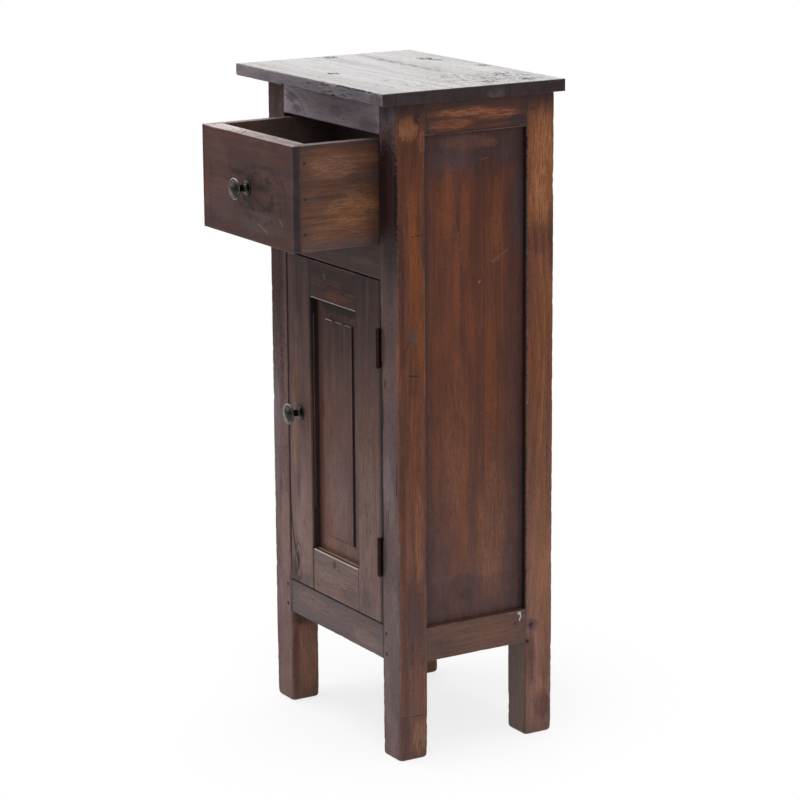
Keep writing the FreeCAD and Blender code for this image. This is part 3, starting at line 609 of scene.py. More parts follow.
# %% The finish of one board
def stained_wood(name, low, high, grain, seed, marks=(), **changes):
    """Varnished, stained wood: ground and thin stain by streaks, rings, clouds of deep stain, pale rubbed
    arrises, and then each mark in turn. The varnish film is thinner where the wood is dark and open."""
    look = {**base_look, **changes}
    g, shader, material = new_material(name)
    place = g.add("ShaderNodeTexCoord", output="Object")
    turn = Matrix.Rotation(TURN[grain][2], 3, "Z") @ Matrix.Rotation(TURN[grain][1], 3, "Y")
    moved = turn @ -(Vector(low) + Vector(high)) / 2
    inputs = {"Vector": place, "Location": tuple(moved), "Rotation": TURN[grain]}
    board = g.add("ShaderNodeMapping", inputs)
    half = turn @ (Vector(high) - Vector(low)) / 2

    rng = np.random.default_rng(seed)
    pith = (0, rng.uniform(-0.06, 0.06), -rng.uniform(0.05, 0.11))
    figure = {"Board": board, "Pith": pith, "Seed": seed, "Ring Width": look["ring_width"]}
    grain_out = g.group(grain_group, {**figure, "Sway": look["sway"]})
    edges = g.group(edges_group, {"Board": board, "Half": tuple(abs(value) for value in half)})
    cloud_in = {"Board": board, "Seed": seed, "Size": look["cloud_size"], "Share": look["soak"]}
    cloud = g.group(clouds_group, cloud_in)["Mask"]
    rub_in = {"Board": board, "Arris": edges["Arris"], "Reach": look["rub_reach"], "Seed": seed}
    rub = g.times(g.group(rubbing_group, rub_in)["Mask"], look["rub"])

    colour = g.mix(g.times(grain_out["Streaks"], look["warmth"]), look["ground"], look["warm"])
    fading = g.times(grain_out["Rings"], grain_out["Mottle"], look["rings"] * 2)
    colour = g.mix(fading, colour, look["deep"])
    near_end = g.times(g.span(edges["End"], END_REACH, 0.0), look["end_soak"])
    dark = g.math("MAXIMUM", g.times(cloud, look["cloud"]), near_end)
    colour = g.mix(dark, colour, look["deep"])
    pores = g.times(grain_out["Pores"], PORE_DARKNESS)
    colour = g.mix(rub, colour, look["worn"])
    bare = g.math("MAXIMUM", pores, rub)
    broken = g.times(grain_out["Streaks"], grain_out["Fibres"])
    whole = g.minus(1, g.times(broken, look["film_break"]))
    film = g.times(g.minus(1, bare), look["film"], whole)
    taken = g.span(grain_out["Streaks"], 0, 1, 1.0, look["bared"], smooth=False)
    for kind, mark_colour, amount, mark_film, places in marks:
        mask = g.group(mark_groups[kind], {"Place": place, **places})["Mask"]
        strength = g.times(mask, amount)
        if kind in ("shade", "spot"):
            strength = g.times(strength, taken)
        colour = g.mix(strength, colour, mark_colour)
        if mark_film is not None:
            film = g.blend(mask, film, mark_film)
        if mark_film == 0:
            bare = g.math("MAXIMUM", bare, strength)
    weak, strong = 1 - look["fibre"], 1 + look["fibre"]
    fibre = g.span(grain_out["Fibres"], 0.25, 0.75, weak, strong, smooth=False)
    speckle = g.span(g.noise(board, 800, 3, 0.7), 0.3, 0.7, 0.70, 1.30, smooth=False)
    mottle = g.span(grain_out["Mottle"], 0, 1, 0.74, 1.26, smooth=False)
    tone = g.times(fibre, speckle, mottle)
    colour = g.mix(1.0, colour, g.add("ShaderNodeCombineXYZ", {0: tone, 1: tone, 2: tone}), "MULTIPLY")
    colour = g.mix(pores, colour, tar)
    g.feed(shader.inputs["Base Color"], colour)
    g.feed(shader.inputs["Coat Weight"], film)
    shader.inputs["Coat Roughness"].default_value = VARNISH_ROUGHNESS
    shader.inputs["Specular IOR Level"].default_value = look["gloss"]
    rough = g.plus(g.times(bare, 0.3), look["roughness"])
    g.feed(shader.inputs["Roughness"], g.plus(rough, g.times(grain_out["Fibres"], 0.1)))

    height = g.minus(g.times(grain_out["Fibres"], 0.5), grain_out["Pores"])
    height = g.minus(height, g.times(rub, 0.6))
    bump = {"Strength": GRAIN_RELIEF, "Distance": GRAIN_DEPTH, "Height": height}
    g.feed(shader.inputs["Normal"], g.add("ShaderNodeBump", bump))
    return material


print("a board can carry", len(mark_groups), "kinds of marks")


# %% [markdown]
# ## Boards with worn arrises
# A sawn and sanded board is a long box whose arrises have been eased and then knocked about. Each board is
# one closed surface: rows run along the grain, columns run round a rounded section, and the radius of each
# corner changes from row to row. A chip is a short stretch where the radius grows and the corner turns
# hollow. Wear only takes wood away, so a worn board always fits in the box of the board it replaces.

# %% Lines, skins and pieces
AXES = {"x": (0, 1, 2), "y": (1, 2, 0), "z": (2, 0, 1)}
CORNER_STEPS = 5
FLAT_SHARES = np.array([0.015, 0.12, 0.37, 0.63, 0.88, 0.985])
END_STEPS = 4
CAP_SHARES = (0.97, 0.6, 0.2)
CHIP_HOLLOW = 0.42
FOOT_BRUISE, FOOT_RISE = 6 * MM, 110 * MM  # a foot is worn most below the first, a little below the second


def uneven_line(along, rng, shortest, longest):
    """A line that wanders between about -1 and 1: a sum of sines whose wavelengths run from the longest to
    the shortest, each with a random start, over the square root of how many there are."""
    lengths = np.geomspace(longest, shortest, 6)
    starts = rng.uniform(0, 2 * pi, len(lengths))
    waves = np.sin(2 * pi * along[:, None] / lengths + starts)
    return waves.sum(axis=1) / np.sqrt(len(lengths))


def skin(points, closed_ends=True):
    """The quads of a grid of points whose columns close round, and a cap on the first and the last row."""
    rows, columns = points.shape[:2]
    index = np.arange(rows * columns).reshape(rows, columns)
    beside = np.roll(index, -1, axis=1)
    quads = np.stack([index[:-1], beside[:-1], beside[1:], index[1:]], axis=-1).reshape(-1, 4)
    faces = quads.tolist()
    if closed_ends:
        faces += [index[0, ::-1].tolist(), index[-1].tolist()]
    return faces


def new_piece(name, points, faces, material):
    """A smooth-shaded object at the origin whose mesh is the given points and faces."""
    mesh = bpy.data.meshes.new(name)
    mesh.from_pydata(points.reshape(-1, 3).tolist(), [], faces)
    mesh.materials.append(material)
    mesh.shade_smooth()
    piece = bpy.data.objects.new(name, mesh)
    bpy.context.scene.collection.objects.link(piece)
    return piece


print("a worn board has", 4 * (CORNER_STEPS + len(FLAT_SHARES)), "points round its section")


# %% A worn board as a grid of points
def worn_board(name, low, high, grain, material, seed, arris=1.2, wear=0.6, step=4.0, chips=(), end=0.8,
               foot=0.0):
    """A rounded box from low to high. Corner k of the section, counted from the one at +width +thickness,
    has the radius arris (one value or four, mm) plus wear times an uneven line, plus each chip. The ends are
    eased by a quarter circle: end at both, or foot at the lower one, where the corners are rounder too.
    A chip is (corner, place along the grain, length, depth), in mm in the frame."""
    rng = np.random.default_rng(seed)
    run, wide, thick = AXES[grain]
    middle, half = (np.array(low) + high) / 2, (np.array(high) - low) / 2
    lower, upper = (foot or end) * MM, end * MM
    count = max(2, ceil(2 * half[run] / (step * MM)))
    body = np.linspace(-half[run] + lower, half[run] - upper, count)
    turn = np.linspace(0, pi / 2, END_STEPS + 1)[:-1]
    along = np.concatenate([-half[run] + lower * (1 - np.cos(turn)), body,
                            (half[run] - upper * (1 - np.cos(turn)))[::-1]])
    inset = np.concatenate([lower * (1 - np.sin(turn)), 0 * body, (upper * (1 - np.sin(turn)))[::-1]])

    radii = np.zeros((len(along), 4))
    hollow = np.zeros((len(along), 4))
    for corner, start in enumerate(np.broadcast_to(arris, 4)):
        rough = np.clip(uneven_line(along, rng, 12 * MM, 240 * MM), -0.6, 1.6)
        radii[:, corner] = start * MM * (1 + 0.25 * rough) + wear * MM * np.clip(rough, 0, 2) ** 2
    for corner, place, length, depth in chips:
        off = (along + middle[run] - place * MM) / (length / 2 * MM)
        shape = np.sqrt(np.clip(1 - off ** 2, 0, 1))
        jagged = 0.75 + 0.25 * uneven_line(along, rng, 1.2 * MM, 6 * MM)
        radii[:, corner] += depth * MM * shape * jagged
        hollow[:, corner] = np.maximum(hollow[:, corner], CHIP_HOLLOW * shape)
    if foot:
        height = along + half[run]
        bruised = 0.8 * np.exp(-height / FOOT_BRUISE) + 0.35 * np.clip(1 - height / FOOT_RISE, 0, 1)
        radii += (foot * MM * bruised)[:, None] * rng.uniform(0.5, 1.0, 4)
    radii = np.clip(radii - inset[:, None] * 0.5, 0.15 * MM, 0.45 * min(half[wide], half[thick]))

    sides = []
    for corner, (sign_w, sign_t) in enumerate([(1, 1), (-1, 1), (-1, -1), (1, -1)]):
        radius = radii[:, corner, None]
        angles = np.linspace(0, pi / 2, CORNER_STEPS)
        cut = radius * (1 - hollow[:, corner, None] * np.sin(2 * angles))
        start = corner * pi / 2
        section_w = sign_w * (half[wide] - inset[:, None] - radius) + cut * np.cos(start + angles)
        section_t = sign_t * (half[thick] - inset[:, None] - radius) + cut * np.sin(start + angles)
        sides.append(np.stack([section_w, section_t], axis=-1))
    columns = []
    for corner, arc in enumerate(sides):
        after = sides[(corner + 1) % 4][:, :1]
        flat = arc[:, -1:] + (after - arc[:, -1:]) * FLAT_SHARES[None, :, None]
        columns += [arc, flat]
    section = np.concatenate(columns, axis=1)

    first = [section[0] * share for share in CAP_SHARES[::-1]]
    last = [section[-1] * share for share in CAP_SHARES]
    section = np.concatenate([np.array(first), section, np.array(last)])
    caps = len(CAP_SHARES)
    along = np.concatenate([np.full(caps, along[0]), along, np.full(caps, along[-1])])
    points = np.empty(section.shape[:2] + (3,))
    points[..., run] = along[:, None] + middle[run]
    points[..., wide] = section[..., 0] + middle[wide]
    points[..., thick] = section[..., 1] + middle[thick]
    return new_piece(name, points, skin(points), material)


body_of = {name: body for body, names in frame["record"]["behaviour"]["bodies"].items() for name in names}
print("nodes on bodies:", len(body_of))


# %% A worn board in place of a node
def stand_in(piece, node):
    """Lets a piece take a node's place, on the node's body."""
    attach(piece, body_of[node])
    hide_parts(node)


def dress(node, low, high, grain, seed, marks, shape, **look):
    """Replaces a node by a worn board between two corners, with a stained finish of its own."""
    material = stained_wood(f"{node}_finish", low, high, grain, seed, marks, **look)
    stand_in(worn_board(f"{node}_worn", low, high, grain, material, seed, **shape), node)




# %% [markdown]
# ## The four posts
# Each post is one square length of wood that runs from under the top down to the floor as a leg. The feet
# are the most knocked about. The front faces are given a greyer colour than the sides, a painted sheen and
# shade for how the light falls on them. The right front post has a small knot near its top, short cross
# scars half way up and an old saw cut round its foot.

# %% Marks that posts share
def front_face_tone(face, colour=plum, amount=0.7, film=0.0):
    """Colour laid on the face of a board that looks forward, at y = -face in mm: a painted sheen and
    shade, for how the light falls on that face.
    """
    return shade(FRONT, face - 1.2, face - 0.5, colour, amount, 0.6, film)


post_face, post_side = 46.65, 168.0
on_front = marks_on("y", -post_face, line_at=-46.8)
on_side = marks_on("x", post_side, deep=4, line_at=168.3)
on_inner = marks_on("x", -125, deep=4)
scuffed_foot = shade(DOWN, -2.5, -0.5, pale, 0.55, 2.5, 0.0)


def painted_floor_light(colour=(0.22, 0.145, 0.13), amount=0.26):
    """A pale veil that thickens towards the floor: painted light, for the white floor's light reflected and
    bounced onto the wood.
    """
    return shade(DOWN, -520, -60, colour, amount, 90)


def hinge_stains(x):
    """Dark stain round the two hinges, in mm from the middle of the table."""
    heights = [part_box(f"{name}_hinge_pin") for name in ("upper", "lower")]
    return [spot((x, -post_face, (low.z + high.z) / 2 / MM), (9, 4, 34), tar, 0.5) for low, high in heights]


print("post fronts at", -post_face, "mm, sides at", post_side, "mm")

# %% Marks of the right front post
right_front_marks = [
    *on_side(checks, (-25, 450, 22, 460, "z", 0.3, tar, 0.55), deep=6),
    *on_side(spot, (-22, 700, 7, 95, rust, 0.55), (-13, 615, 8, 100, rust, 0.5),
             (-26, 420, 5, 90, rust, 0.32)),
    *on_side(wiped, (-15, 310, 8, 90, "z", (0.34, 0.11, 0.04), 0.34)),
    *on_side(line, ((-6, 665, -6.5, 493), 1.3, amber, 0.5)),
    *on_side(spot, (-29, 850, 16, 18, (0.42, 0.175, 0.08), 0.6)),
    *on_side(wiped, (-8, 832, 8, 16, "z", (0.36, 0.14, 0.06), 0.34)),
    *on_side(spot, (-26, 822, 16, 10, (0.07, 0.032, 0.028), 0.45), (-40, 640, 6, 130, plum, 0.55),
             (-41, 330, 6, 110, plum, 0.5), (-27, 190, 20, 80, (0.04, 0.022, 0.029), 0.74),
             (-38, 110, 8, 60, plum, 0.45), (-40, 32, 9, 36, plum, 0.5)),
    *on_side(wiped, (-15, 30, 14, 30, "z", (0.3, 0.15, 0.07), 0.46)),
    painted_floor_light(),
    *on_side(spot, (-24, 577, 6, 11, (0.07, 0.058, 0.066), 0.98)),
    *on_side(line, ((-28, 573, -34, 561, -36, 546), 1.6, plum, 0.7), level=168.4),
    *on_side(line, ((-28, 527, -15, 525), 2.6, plum, 0.75), ((-27, 709, -9, 711), 2.2, plum, 0.6)),
    *on_side(specks, (-26, 460, 26, 440, 17, 0.55, 0.28), deep=6),
    front_face_tone(post_face, (0.105, 0.062, 0.059), 1.2),
    *on_front(checks, (147, 400, 22, 420, "z", 0.42, tar, 0.9), deep=4),
    # painted floor light: the front face paler low down
    *on_front(spot, (147, 120, 26, 190, (0.23, 0.165, 0.16), 0.36)),
    *hinge_stains(131),
    # painted sheen: a pale veil at the top of the front face and low down
    *on_front(spot, (147, 865, 24, 22, (0.17, 0.14, 0.165), 0.65), (147, 240, 24, 240, bloom_and_sheen, 0.26)),
    shade(LEFT, -129.0, -126.0, tar, 0.7, 3),
    *on_front(spot, (139, 385, 12, 50, bloom_and_sheen, 0.36), (149, 350, 12, 34, (0.25, 0.185, 0.18), 0.36),
              # the first two spots on these lines are painted shadow of the open drawer, down to the divider
              (147, 755, 34, 109, (0.015, 0.0036, 0.0042), 1.3),
              (147, 668, 32, 58, (0.05, 0.034, 0.036), 0.8), (151, 770, 6, 90, (0.06, 0.016, 0.012), 0.35)),
    *on_front(line, ((127.5, 540, 128.5, 463, 127, 400, 129, 300), 3.4, tar, 0.95)),
    *on_front(spot, (130, 470, 3, 24, tar, 0.9), (136, 512, 3, 9, tar, 0.7)),
    *on_front(line, ((164, 408, 163, 370), 3.0, flame, 0.8),
              ((147, 362, 143, 345, 141, 322), 1.4, tar, 0.75)),
    # painted shadow under the top's overhang
    shade(UP, 846, 880, plum, 0.85, 50),
    *on_side(spot, (-16, 860, 7, 9, plum, 0.6), deep=5),
    *on_side(spot, (-16.5, 860, 2.4, 3.2, tar, 0.9)),
    *on_side(line, ((-43, 61.5, -3, 61), 1.1, tar, 0.9), level=168.4),
    scuffed_foot,
]
print(len(right_front_marks), "marks on the right front post")

# %% Marks of the left front post
left_front_marks = [
    front_face_tone(post_face, (0.12, 0.073, 0.069), 1.2),
    *on_front(checks, (-147, 350, 22, 380, "z", 0.5, tar, 0.85), deep=4),
    *on_front(spot, (-150, 640, 20, 90, plum, 0.7), (-160, 400, 12, 140, bloom_and_sheen, 0.6),
              (-138, 260, 12, 90, (0.3, 0.185, 0.165), 0.45), (-140, 470, 6, 60, plum, 0.4)),
    *line([(-124.6, -46.2, 650), (-124.6, -46.2, 190)], 3.4, plum, 0.75),
    *on_front(line, ((-127, 188, -128, 160, -126, 134), 2.6, flame, 0.85),
              ((-150, 322, -151, 296), 1.6, flame, 0.6)),
    *on_front(specks, (-147, 400, 22, 380, 20, 0.5, 0.25), deep=4),
    painted_floor_light((0.24, 0.15, 0.135)),
    # painted shadow of the open drawer on the upper front face
    *on_front(spot, (-147, 720, 34, 290, (0.034, 0.013, 0.013), 0.8)),
    *on_inner(wiped, (-22, 64, 22, 56, "z", (0.23, 0.12, 0.062), 0.4)),
    # painted shade inside the drawer opening: the post's inner face and its front corner
    *on_inner(spot, (-20, 785, 40, 140, tar, 0.97), deep=5),
    stroke((-123, -39, 815), (-123, -39, 838), 12, tar, 0.95),
    stroke((-122, -32, 815), (-122, -32, 836), 14, tar, 0.95),
    *on_inner(spot, (-22, 124, 26, 16, plum, 0.7), (-40, 60, 7, 60, plum, 0.5)),
    # painted floor light: the front face paler low down
    *on_front(spot, (-147, 200, 26, 150, (0.2, 0.135, 0.125), 0.3)),
    # painted shadow under the top's overhang
    shade(UP, 845, 880, plum, 0.6, 40),
    scuffed_foot,
]
print(len(left_front_marks), "marks on the left front post")

# %% Marks of the back posts
back_post_front = 153.35  # this face of it shows as a dark strip beside the side panel
right_back_marks = [
    *on_side(wiped, (178, 785, 24, 100, "z", (0.38, 0.155, 0.058), 0.52)),
    *on_side(spot, (172, 688, 24, 26, plum, 0.5), (172, 540, 18, 150, amber, 0.14),
             (180, 235, 24, 130, amber, 0.3)),
    *on_side(checks, (175, 450, 22, 440, "z", 0.24, plum, 0.45), deep=6),
    *on_side(spot, (190, 690, 6, 60, plum, 0.5), (160, 640, 6, 50, plum, 0.4)),
    painted_floor_light((0.36, 0.225, 0.195), 0.34),
    shade(FRONT, -154.6, -153.8, (0.044, 0.031, 0.023), 0.68, 1),
    *wiped((150, 154, 70), (12, 4, 60), "z", (0.115, 0.08, 0.05), 0.55),
    *on_side(spot, (180, 40, 16, 24, (0.05, 0.024, 0.034), 0.55),
             (163, 158, 12, 10, (0.07, 0.038, 0.056), 0.75)),
    spot((167.6, 156, 135), (5, 4, 3.4), tar, 0.9),
    *on_side(spot, (160, 110, 10, 50, plum, 0.45), (186, 96, 8, 30, plum, 0.35)),
    # painted shadow under the top's overhang
    shade(UP, 846, 870, plum, 0.85, 24),
    # painted shade: the post's face in the recess beside the set-back side panel
    *line([(163, back_post_front, 180), (163, back_post_front, 840)], 9.0, tar, 0.97),
    specks((166.8, back_post_front, 510), (2.4, 1.8, 330), 8, 0.9, 0.62),
    *on_side(specks, (180, 500, 20, 400, 24, 0.5, 0.25), deep=5),
    scuffed_foot,
]
# the first shade is painted shadow under the top's overhang
left_back_marks = [shade(UP, 845, 880, plum, 0.6, 40), shade(DOWN, -2.5, -0.5, pale, 0.4, 2.5, 0.0)]
print(len(right_back_marks), "marks on the right back post")

# %% Posts
post_shape = {"arris": 1.8, "wear": 0.5, "foot": 4.2, "end": 1.6}
post_look = {"ground": (0.110, 0.030, 0.0125), "warm": (0.235, 0.070, 0.020), "warmth": 0.7, "soak": 0.25,
             "ring_width": 7 * MM, "gloss": 0.24, "film": 0.14, "rub": 0.28}
post_marks = {
    "post_front_right": right_front_marks,
    "post_front_left": left_front_marks,
    "post_back_right": right_back_marks,
    "post_back_left": left_back_marks,
}
paler = {"ground": (0.150, 0.046, 0.021), "warm": (0.290, 0.098, 0.034)}
for number, (node, marks) in enumerate(post_marks.items()):
    low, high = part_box(node)
    look = {**post_look, **(paler if "back" in node else {})}
    dress(node, low, high, "z", 11 + number, marks, post_shape, **look)
print(len(post_marks), "posts")


# %% [markdown]
# ## Rails
# The rails are tenoned into the posts, so only the stretch between two posts shows. Each worn rail runs a
# hair into the posts, which leaves a fine dark joint line and no gap.

# %% Marks of the front rails
rail_face = 45.85
on_rail = marks_on("y", -rail_face, line_at=-46)
on_rail_side = marks_on("x", 167.2, line_at=167.4)
top_rail_marks = [
    # painted sheen: a pale grey violet, paler to the left, for the room's reflection under the shaded overhang
    front_face_tone(rail_face, (0.29, 0.248, 0.3), 0.94),
    shade(LEFT, -10, 110, (0.42, 0.35, 0.4), 0.62, 60),
    *on_rail(spot, (-104, 862, 16, 8, slate, 0.8), (-90, 848, 15, 6, tar, 0.5), (14, 856, 21, 9, slate, 0.5),
             (100, 850, 30, 12, slate, 0.45), (-50, 855, 14, 10, (0.3, 0.22, 0.215), 0.45)),
    *on_rail(line, ((-122, 872, -106, 866, -90, 862, -75, 853, -68, 842), 1.6, slate, 0.8),
             ((-122, 864, -108, 857, -96, 852, -88, 841), 1.4, slate, 0.7),
             ((-110, 876, -84, 871, -60, 860, -52, 846), 1.2, slate, 0.6)),
    *on_rail(spot, (34.5, 848, 1.6, 1.6, tar, 0.9), deep=2),
    *on_rail(checks, (0, 861, 125, 24, "x", 0.4, plum, 0.6), deep=4),
    *on_rail(specks, (0, 861, 120, 22, 22, 0.5, 0.3), deep=4),
    shade(DOWN, -840.2, -839.2, tar, 0.7, 1),
]
divider_marks = [
    front_face_tone(rail_face, plum, 0.75),
    *on_rail(checks, (0, 672, 125, 24, "x", 0.4, tar, 0.7), deep=4),
    *on_rail(spot, (60, 672, 40, 12, slate, 0.5)),
]
bottom_rail_marks = [
    front_face_tone(rail_face, slate, 0.6),
    front_face_tone(rail_face, bloom_and_sheen, 0.3),
    *on_rail(wiped, (-70, 165, 50, 12, "x", (0.2, 0.125, 0.105), 0.35),
             (80, 150, 46, 12, "x", (0.22, 0.135, 0.11), 0.35)),
    *on_rail(checks, (0, 157, 125, 24, "x", 0.4, plum, 0.7), deep=4),
    *on_rail(line, ((-124.2, 181, -124.2, 134), 2.0, tar, 0.8), ((124.2, 181, 124.2, 134), 2.0, tar, 0.8)),
    shade(UP, 178.5, 180.5, tar, 0.75, 1.5),
]
print("front rails:", len(top_rail_marks), len(divider_marks), len(bottom_rail_marks), "marks")

# %% Marks of the side rails
side_top_marks = [
    *on_rail_side(wiped, (56, 865, 56, 7, "y", (0.42, 0.15, 0.055), 0.5),
                  (106, 859, 40, 8, "y", (0.4, 0.14, 0.05), 0.45),
                  (34, 850, 40, 8, "y", (0.36, 0.11, 0.034), 0.4)),
    *on_rail_side(spot, (138, 848, 16, 9, plum, 0.75)),
    # painted shadow under the top's overhang
    shade(UP, 860, 882, plum, 0.85, 26),
    *on_rail_side(line, ((12, 839.4, 90, 840.4, 140, 840.6), 1.4, tar, 0.85),
                  ((2, 840, -1.5, 870), 1.2, tar, 0.8)),
]
side_bottom_marks = [
    *on_rail_side(checks, (70, 157, 75, 24, "y", 0.3, plum, 0.6), deep=5),
    *on_rail_side(spot, (30, 150, 26, 14, plum, 0.5), (95, 160, 30, 12, amber, 0.16)),
    *on_rail_side(spot, (143, 176.5, 3.4, 2.6, chalk, 0.85), deep=4),
    *on_rail_side(line, ((144, 178, 145.4, 172, 143.4, 166.5), 1.9, chalk, 0.85),
                  ((126, 178.4, 141, 179.0, 153, 179.4), 0.9, pale, 0.55),
                  ((146, 169, 153, 172.6), 0.7, pale, 0.5)),
    painted_floor_light(),
    *on_rail_side(spot, (149, 132, 2, 2, tar, 0.9), (137, 163, 3, 3, plum, 0.8)),
    *on_rail_side(specks, (60, 158, 70, 20, 16, 0.6, 0.35), deep=4),
    shade(UP, 178.8, 180.6, tar, 0.45, 1.5),
]
print("side rails:", len(side_top_marks), len(side_bottom_marks), "marks")

# %% Rails between the posts
rail_entry = 1.0 * MM
rail_shape = {"arris": 0.9, "wear": 0.4, "end": 0.3}
rail_look = {"warmth": 0.7, "soak": 0.25, "rub": 0.15, "fibre": 0.24}
rail_marks = {
    "front_top_rail": top_rail_marks,
    "front_divider_rail": divider_marks,
    "front_bottom_rail": bottom_rail_marks,
    "back_top_rail": [],
    "back_bottom_rail": [],
    "right_top_rail": side_top_marks,
    "right_bottom_rail": side_bottom_marks,
    # painted shadow under the top's overhang
    "left_top_rail": [shade(UP, 855, 882, plum, 0.8, 40)],
    "left_bottom_rail": [spot((-167.2, 40, 155), (3, 40, 16), plum, 0.5)],
}
inner_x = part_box("post_front_right")[0].x + rail_entry
inner_y = (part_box("post_front_right")[1].y - rail_entry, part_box("post_back_right")[0].y + rail_entry)
for number, (node, marks) in enumerate(rail_marks.items()):
    low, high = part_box(node)
    if node.startswith(("front", "back")):
        grain = "x"
        low.x, high.x = -inner_x, inner_x
    else:
        grain = "y"
        low.y, high.y = inner_y
    dress(node, low, high, grain, 31 + number, marks, rail_shape, **rail_look)
print(len(rail_marks), "rails")


# %% [markdown]
# ## The top
# Four boards glued edge to edge. The narrow front strip carries the chipped front arris. The top is the most
# polished surface, and its knots and cracks are dull, so they show as dark marks in the reflection.

# %% Marks of the front edge
front_edge, top_face = 81.65, 900.0
on_edge = marks_on("y", -front_edge)
on_top = marks_on("z", top_face, deep=4)
on_end = marks_on("x", 194, deep=4)
end_grain = (0.026, 0.012, 0.015)
right_end, left_end = (shade(way, 192.7, 193.3, end_grain, 0.93, 0.4, 0.0) for way in (RIGHT, LEFT))
edge_marks = [
    # painted sheen: a pale grey violet on the front edge for the room's reflection
    front_face_tone(front_edge, (0.17, 0.146, 0.172), 0.85),
    *on_edge(spot, (130, 888, 60, 10, slate, 0.45), (176, 889, 18, 12, (0.03, 0.023, 0.028), 0.75)),
    right_end,
    *on_edge(spot, (174, 890, 5, 10, (0.16, 0.075, 0.075), 0.5),
             (-175, 892, 24, 12, (0.17, 0.13, 0.13), 0.5)),
    *on_edge(checks, (0, 891, 190, 10, "x", 0.55, slate, 0.75),
             (60, 893, 110, 9, "x", 0.65, tar, 0.8), deep=4),
    *on_edge(spot, (42, 897.5, 6, 2.6, tar, 0.95), deep=5),
    *line([(80, -81.0, 899.3), (98, -80.6, 899.4), (114, -81.2, 898.6)], 3.4, tar, 0.9),
    *line([(118, -80.8, 899.3), (136, -81.2, 898.8), (151, -80.6, 899.4)], 3.6, tar, 0.9),
    *line([(158, -81.0, 899.2), (166, -80.8, 899.3)], 2.6, tar, 0.9),
]
edge_chips = [(1, 42, 12, 1.8), (1, 83, 5, 1.0), (1, 89, 9, 1.6), (1, 97, 4, 0.8), (1, 106, 11, 1.7),
              (1, 121, 7, 1.3), (1, 127, 5, 0.9), (1, 137, 12, 1.8), (1, 148, 6, 1.2), (1, 163, 7, 1.1),
              (1, 14, 5, 0.7), (1, -38, 6, 0.6), (1, -110, 8, 0.6), (2, 70, 14, 1.0), (2, -60, 14, 1.0)]
print(len(edge_chips), "chips along the front edge")


# %% Marks of the top's boards
def knot(x, y, across, deep, strength=1.0):
    """A knot on the top: a dull smudge with broken rings in it and fine cracks round it."""
    return [
        *on_top(spot, (x, y, across, deep, slate, 0.35 * strength, 0.62 - 0.15 * strength)),
        *on_top(ring, (x, y, across * 0.55, deep * 0.6, 0.35, 0.7, tar, 0.7 * strength)),
        *on_top(checks, (x, y, across * 1.8, deep * 1.3, "x", 0.75, tar, 0.8), deep=5),
    ]


board_1_marks = [
    *knot(-22, -28, 8, 9),
    *knot(150, 40, 7, 9),
    *on_top(line, ((-60, 20, 60, 22), 1.8, slate, 0.35, 0.6), ((20, -40, 120, -36), 1.4, slate, 0.35, 0.6)),
    *on_top(checks, (120, -10, 80, 50, "x", 0.5, tar, 0.7),
            (-60, -20, 120, 50, "x", 0.25, tar, 0.6), deep=6),
]
board_2_marks = [
    *knot(-178, 57, 11, 10),
    *knot(160, 98, 10, 11),
    *on_top(line, ((-184, 108, -70, 103, 40, 97), 1.8, tar, 0.55, 0.35)),
    *on_top(checks, (120, 80, 76, 50, "x", 0.62, tar, 0.8), (-60, 104, 130, 12, "x", 0.75, tar, 0.8),
            (-80, 60, 110, 40, "x", 0.25, tar, 0.6), deep=6),
]
board_3_marks = [
    *knot(-91, 158, 14, 10),
    *knot(-70, 164, 9, 8, 0.7),
    *knot(105, 152, 9, 10),
    *knot(165, 156, 12, 10),
    *knot(13, 184, 9, 8),
    *on_top(spot, (125, 150, 9, 7, tar, 0.6, 0.3)),
    *on_top(checks, (130, 145, 70, 55, "x", 0.68, tar, 0.85),
            (-60, 150, 130, 50, "x", 0.35, tar, 0.7), deep=6),
]
slab_side_marks = [
    *on_end(checks, (50, 890, 130, 12, "y", 0.55, slate, 0.55)),
    *on_end(specks, (50, 891, 130, 11, 13, 0.6, 0.35, pale)),
    right_end,
    left_end,
]
rough_patch = [
    *on_end(spot, (88, 889, 14, 8, bloom_and_sheen, 0.36)),
    *on_end(spot, (85, 891, 4, 3, tar, 0.7), deep=3),
    *on_end(checks, (86, 889, 20, 11, "y", 0.5, slate, 0.8), deep=5),
    *on_end(specks, (90, 892, 100, 9, 20, 0.6, 0.3)),
]
print("boards of the top:", len(board_1_marks), len(board_2_marks), len(board_3_marks), "marks")

# %% Top boards
top_marks = {
    "top_front_strip": edge_marks,
    "top_board_1": board_1_marks + slab_side_marks,
    "top_board_2": board_2_marks + slab_side_marks + rough_patch,
    "top_board_3": board_3_marks + slab_side_marks,
}
top_look = {"ground": (0.050, 0.038, 0.036), "warm": (0.112, 0.086, 0.080), "film": 0.86, "fibre": 0.46,
            "film_break": 0.75, "soak": 0.2, "rings": 0.5, "ring_width": 6.5 * MM, "sway": 0.05}
for number, (node, marks) in enumerate(top_marks.items()):
    low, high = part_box(node)
    shape = {"arris": 0.2, "wear": 0.1, "end": 1.4}
    if node == "top_front_strip":
        shape = {"arris": (0.2, 1.3, 1.5, 0.2), "wear": 0.4, "end": 1.4, "step": 1.0, "chips": edge_chips}
    rub = 0.45 if node == "top_front_strip" else 0.0
    dress(node, low, high, "x", 51 + number, marks, shape, rub=rub, **top_look)
print(len(top_marks), "top boards")


# %% [markdown]
# ## Pieces that keep their imported shape
# Panels, the drawer, the door and everything inside are already right in shape, with their beads, grooves
# and lips. They only get a finish. The stain lies thick in the corners round each panel and thin in the
# middle of it, because that is where the cloth wiped it off, and along the top of a side panel a painted
# shade of the rail and the top above deepens it. One function marks both side panels, which are the mirror
# of each other.

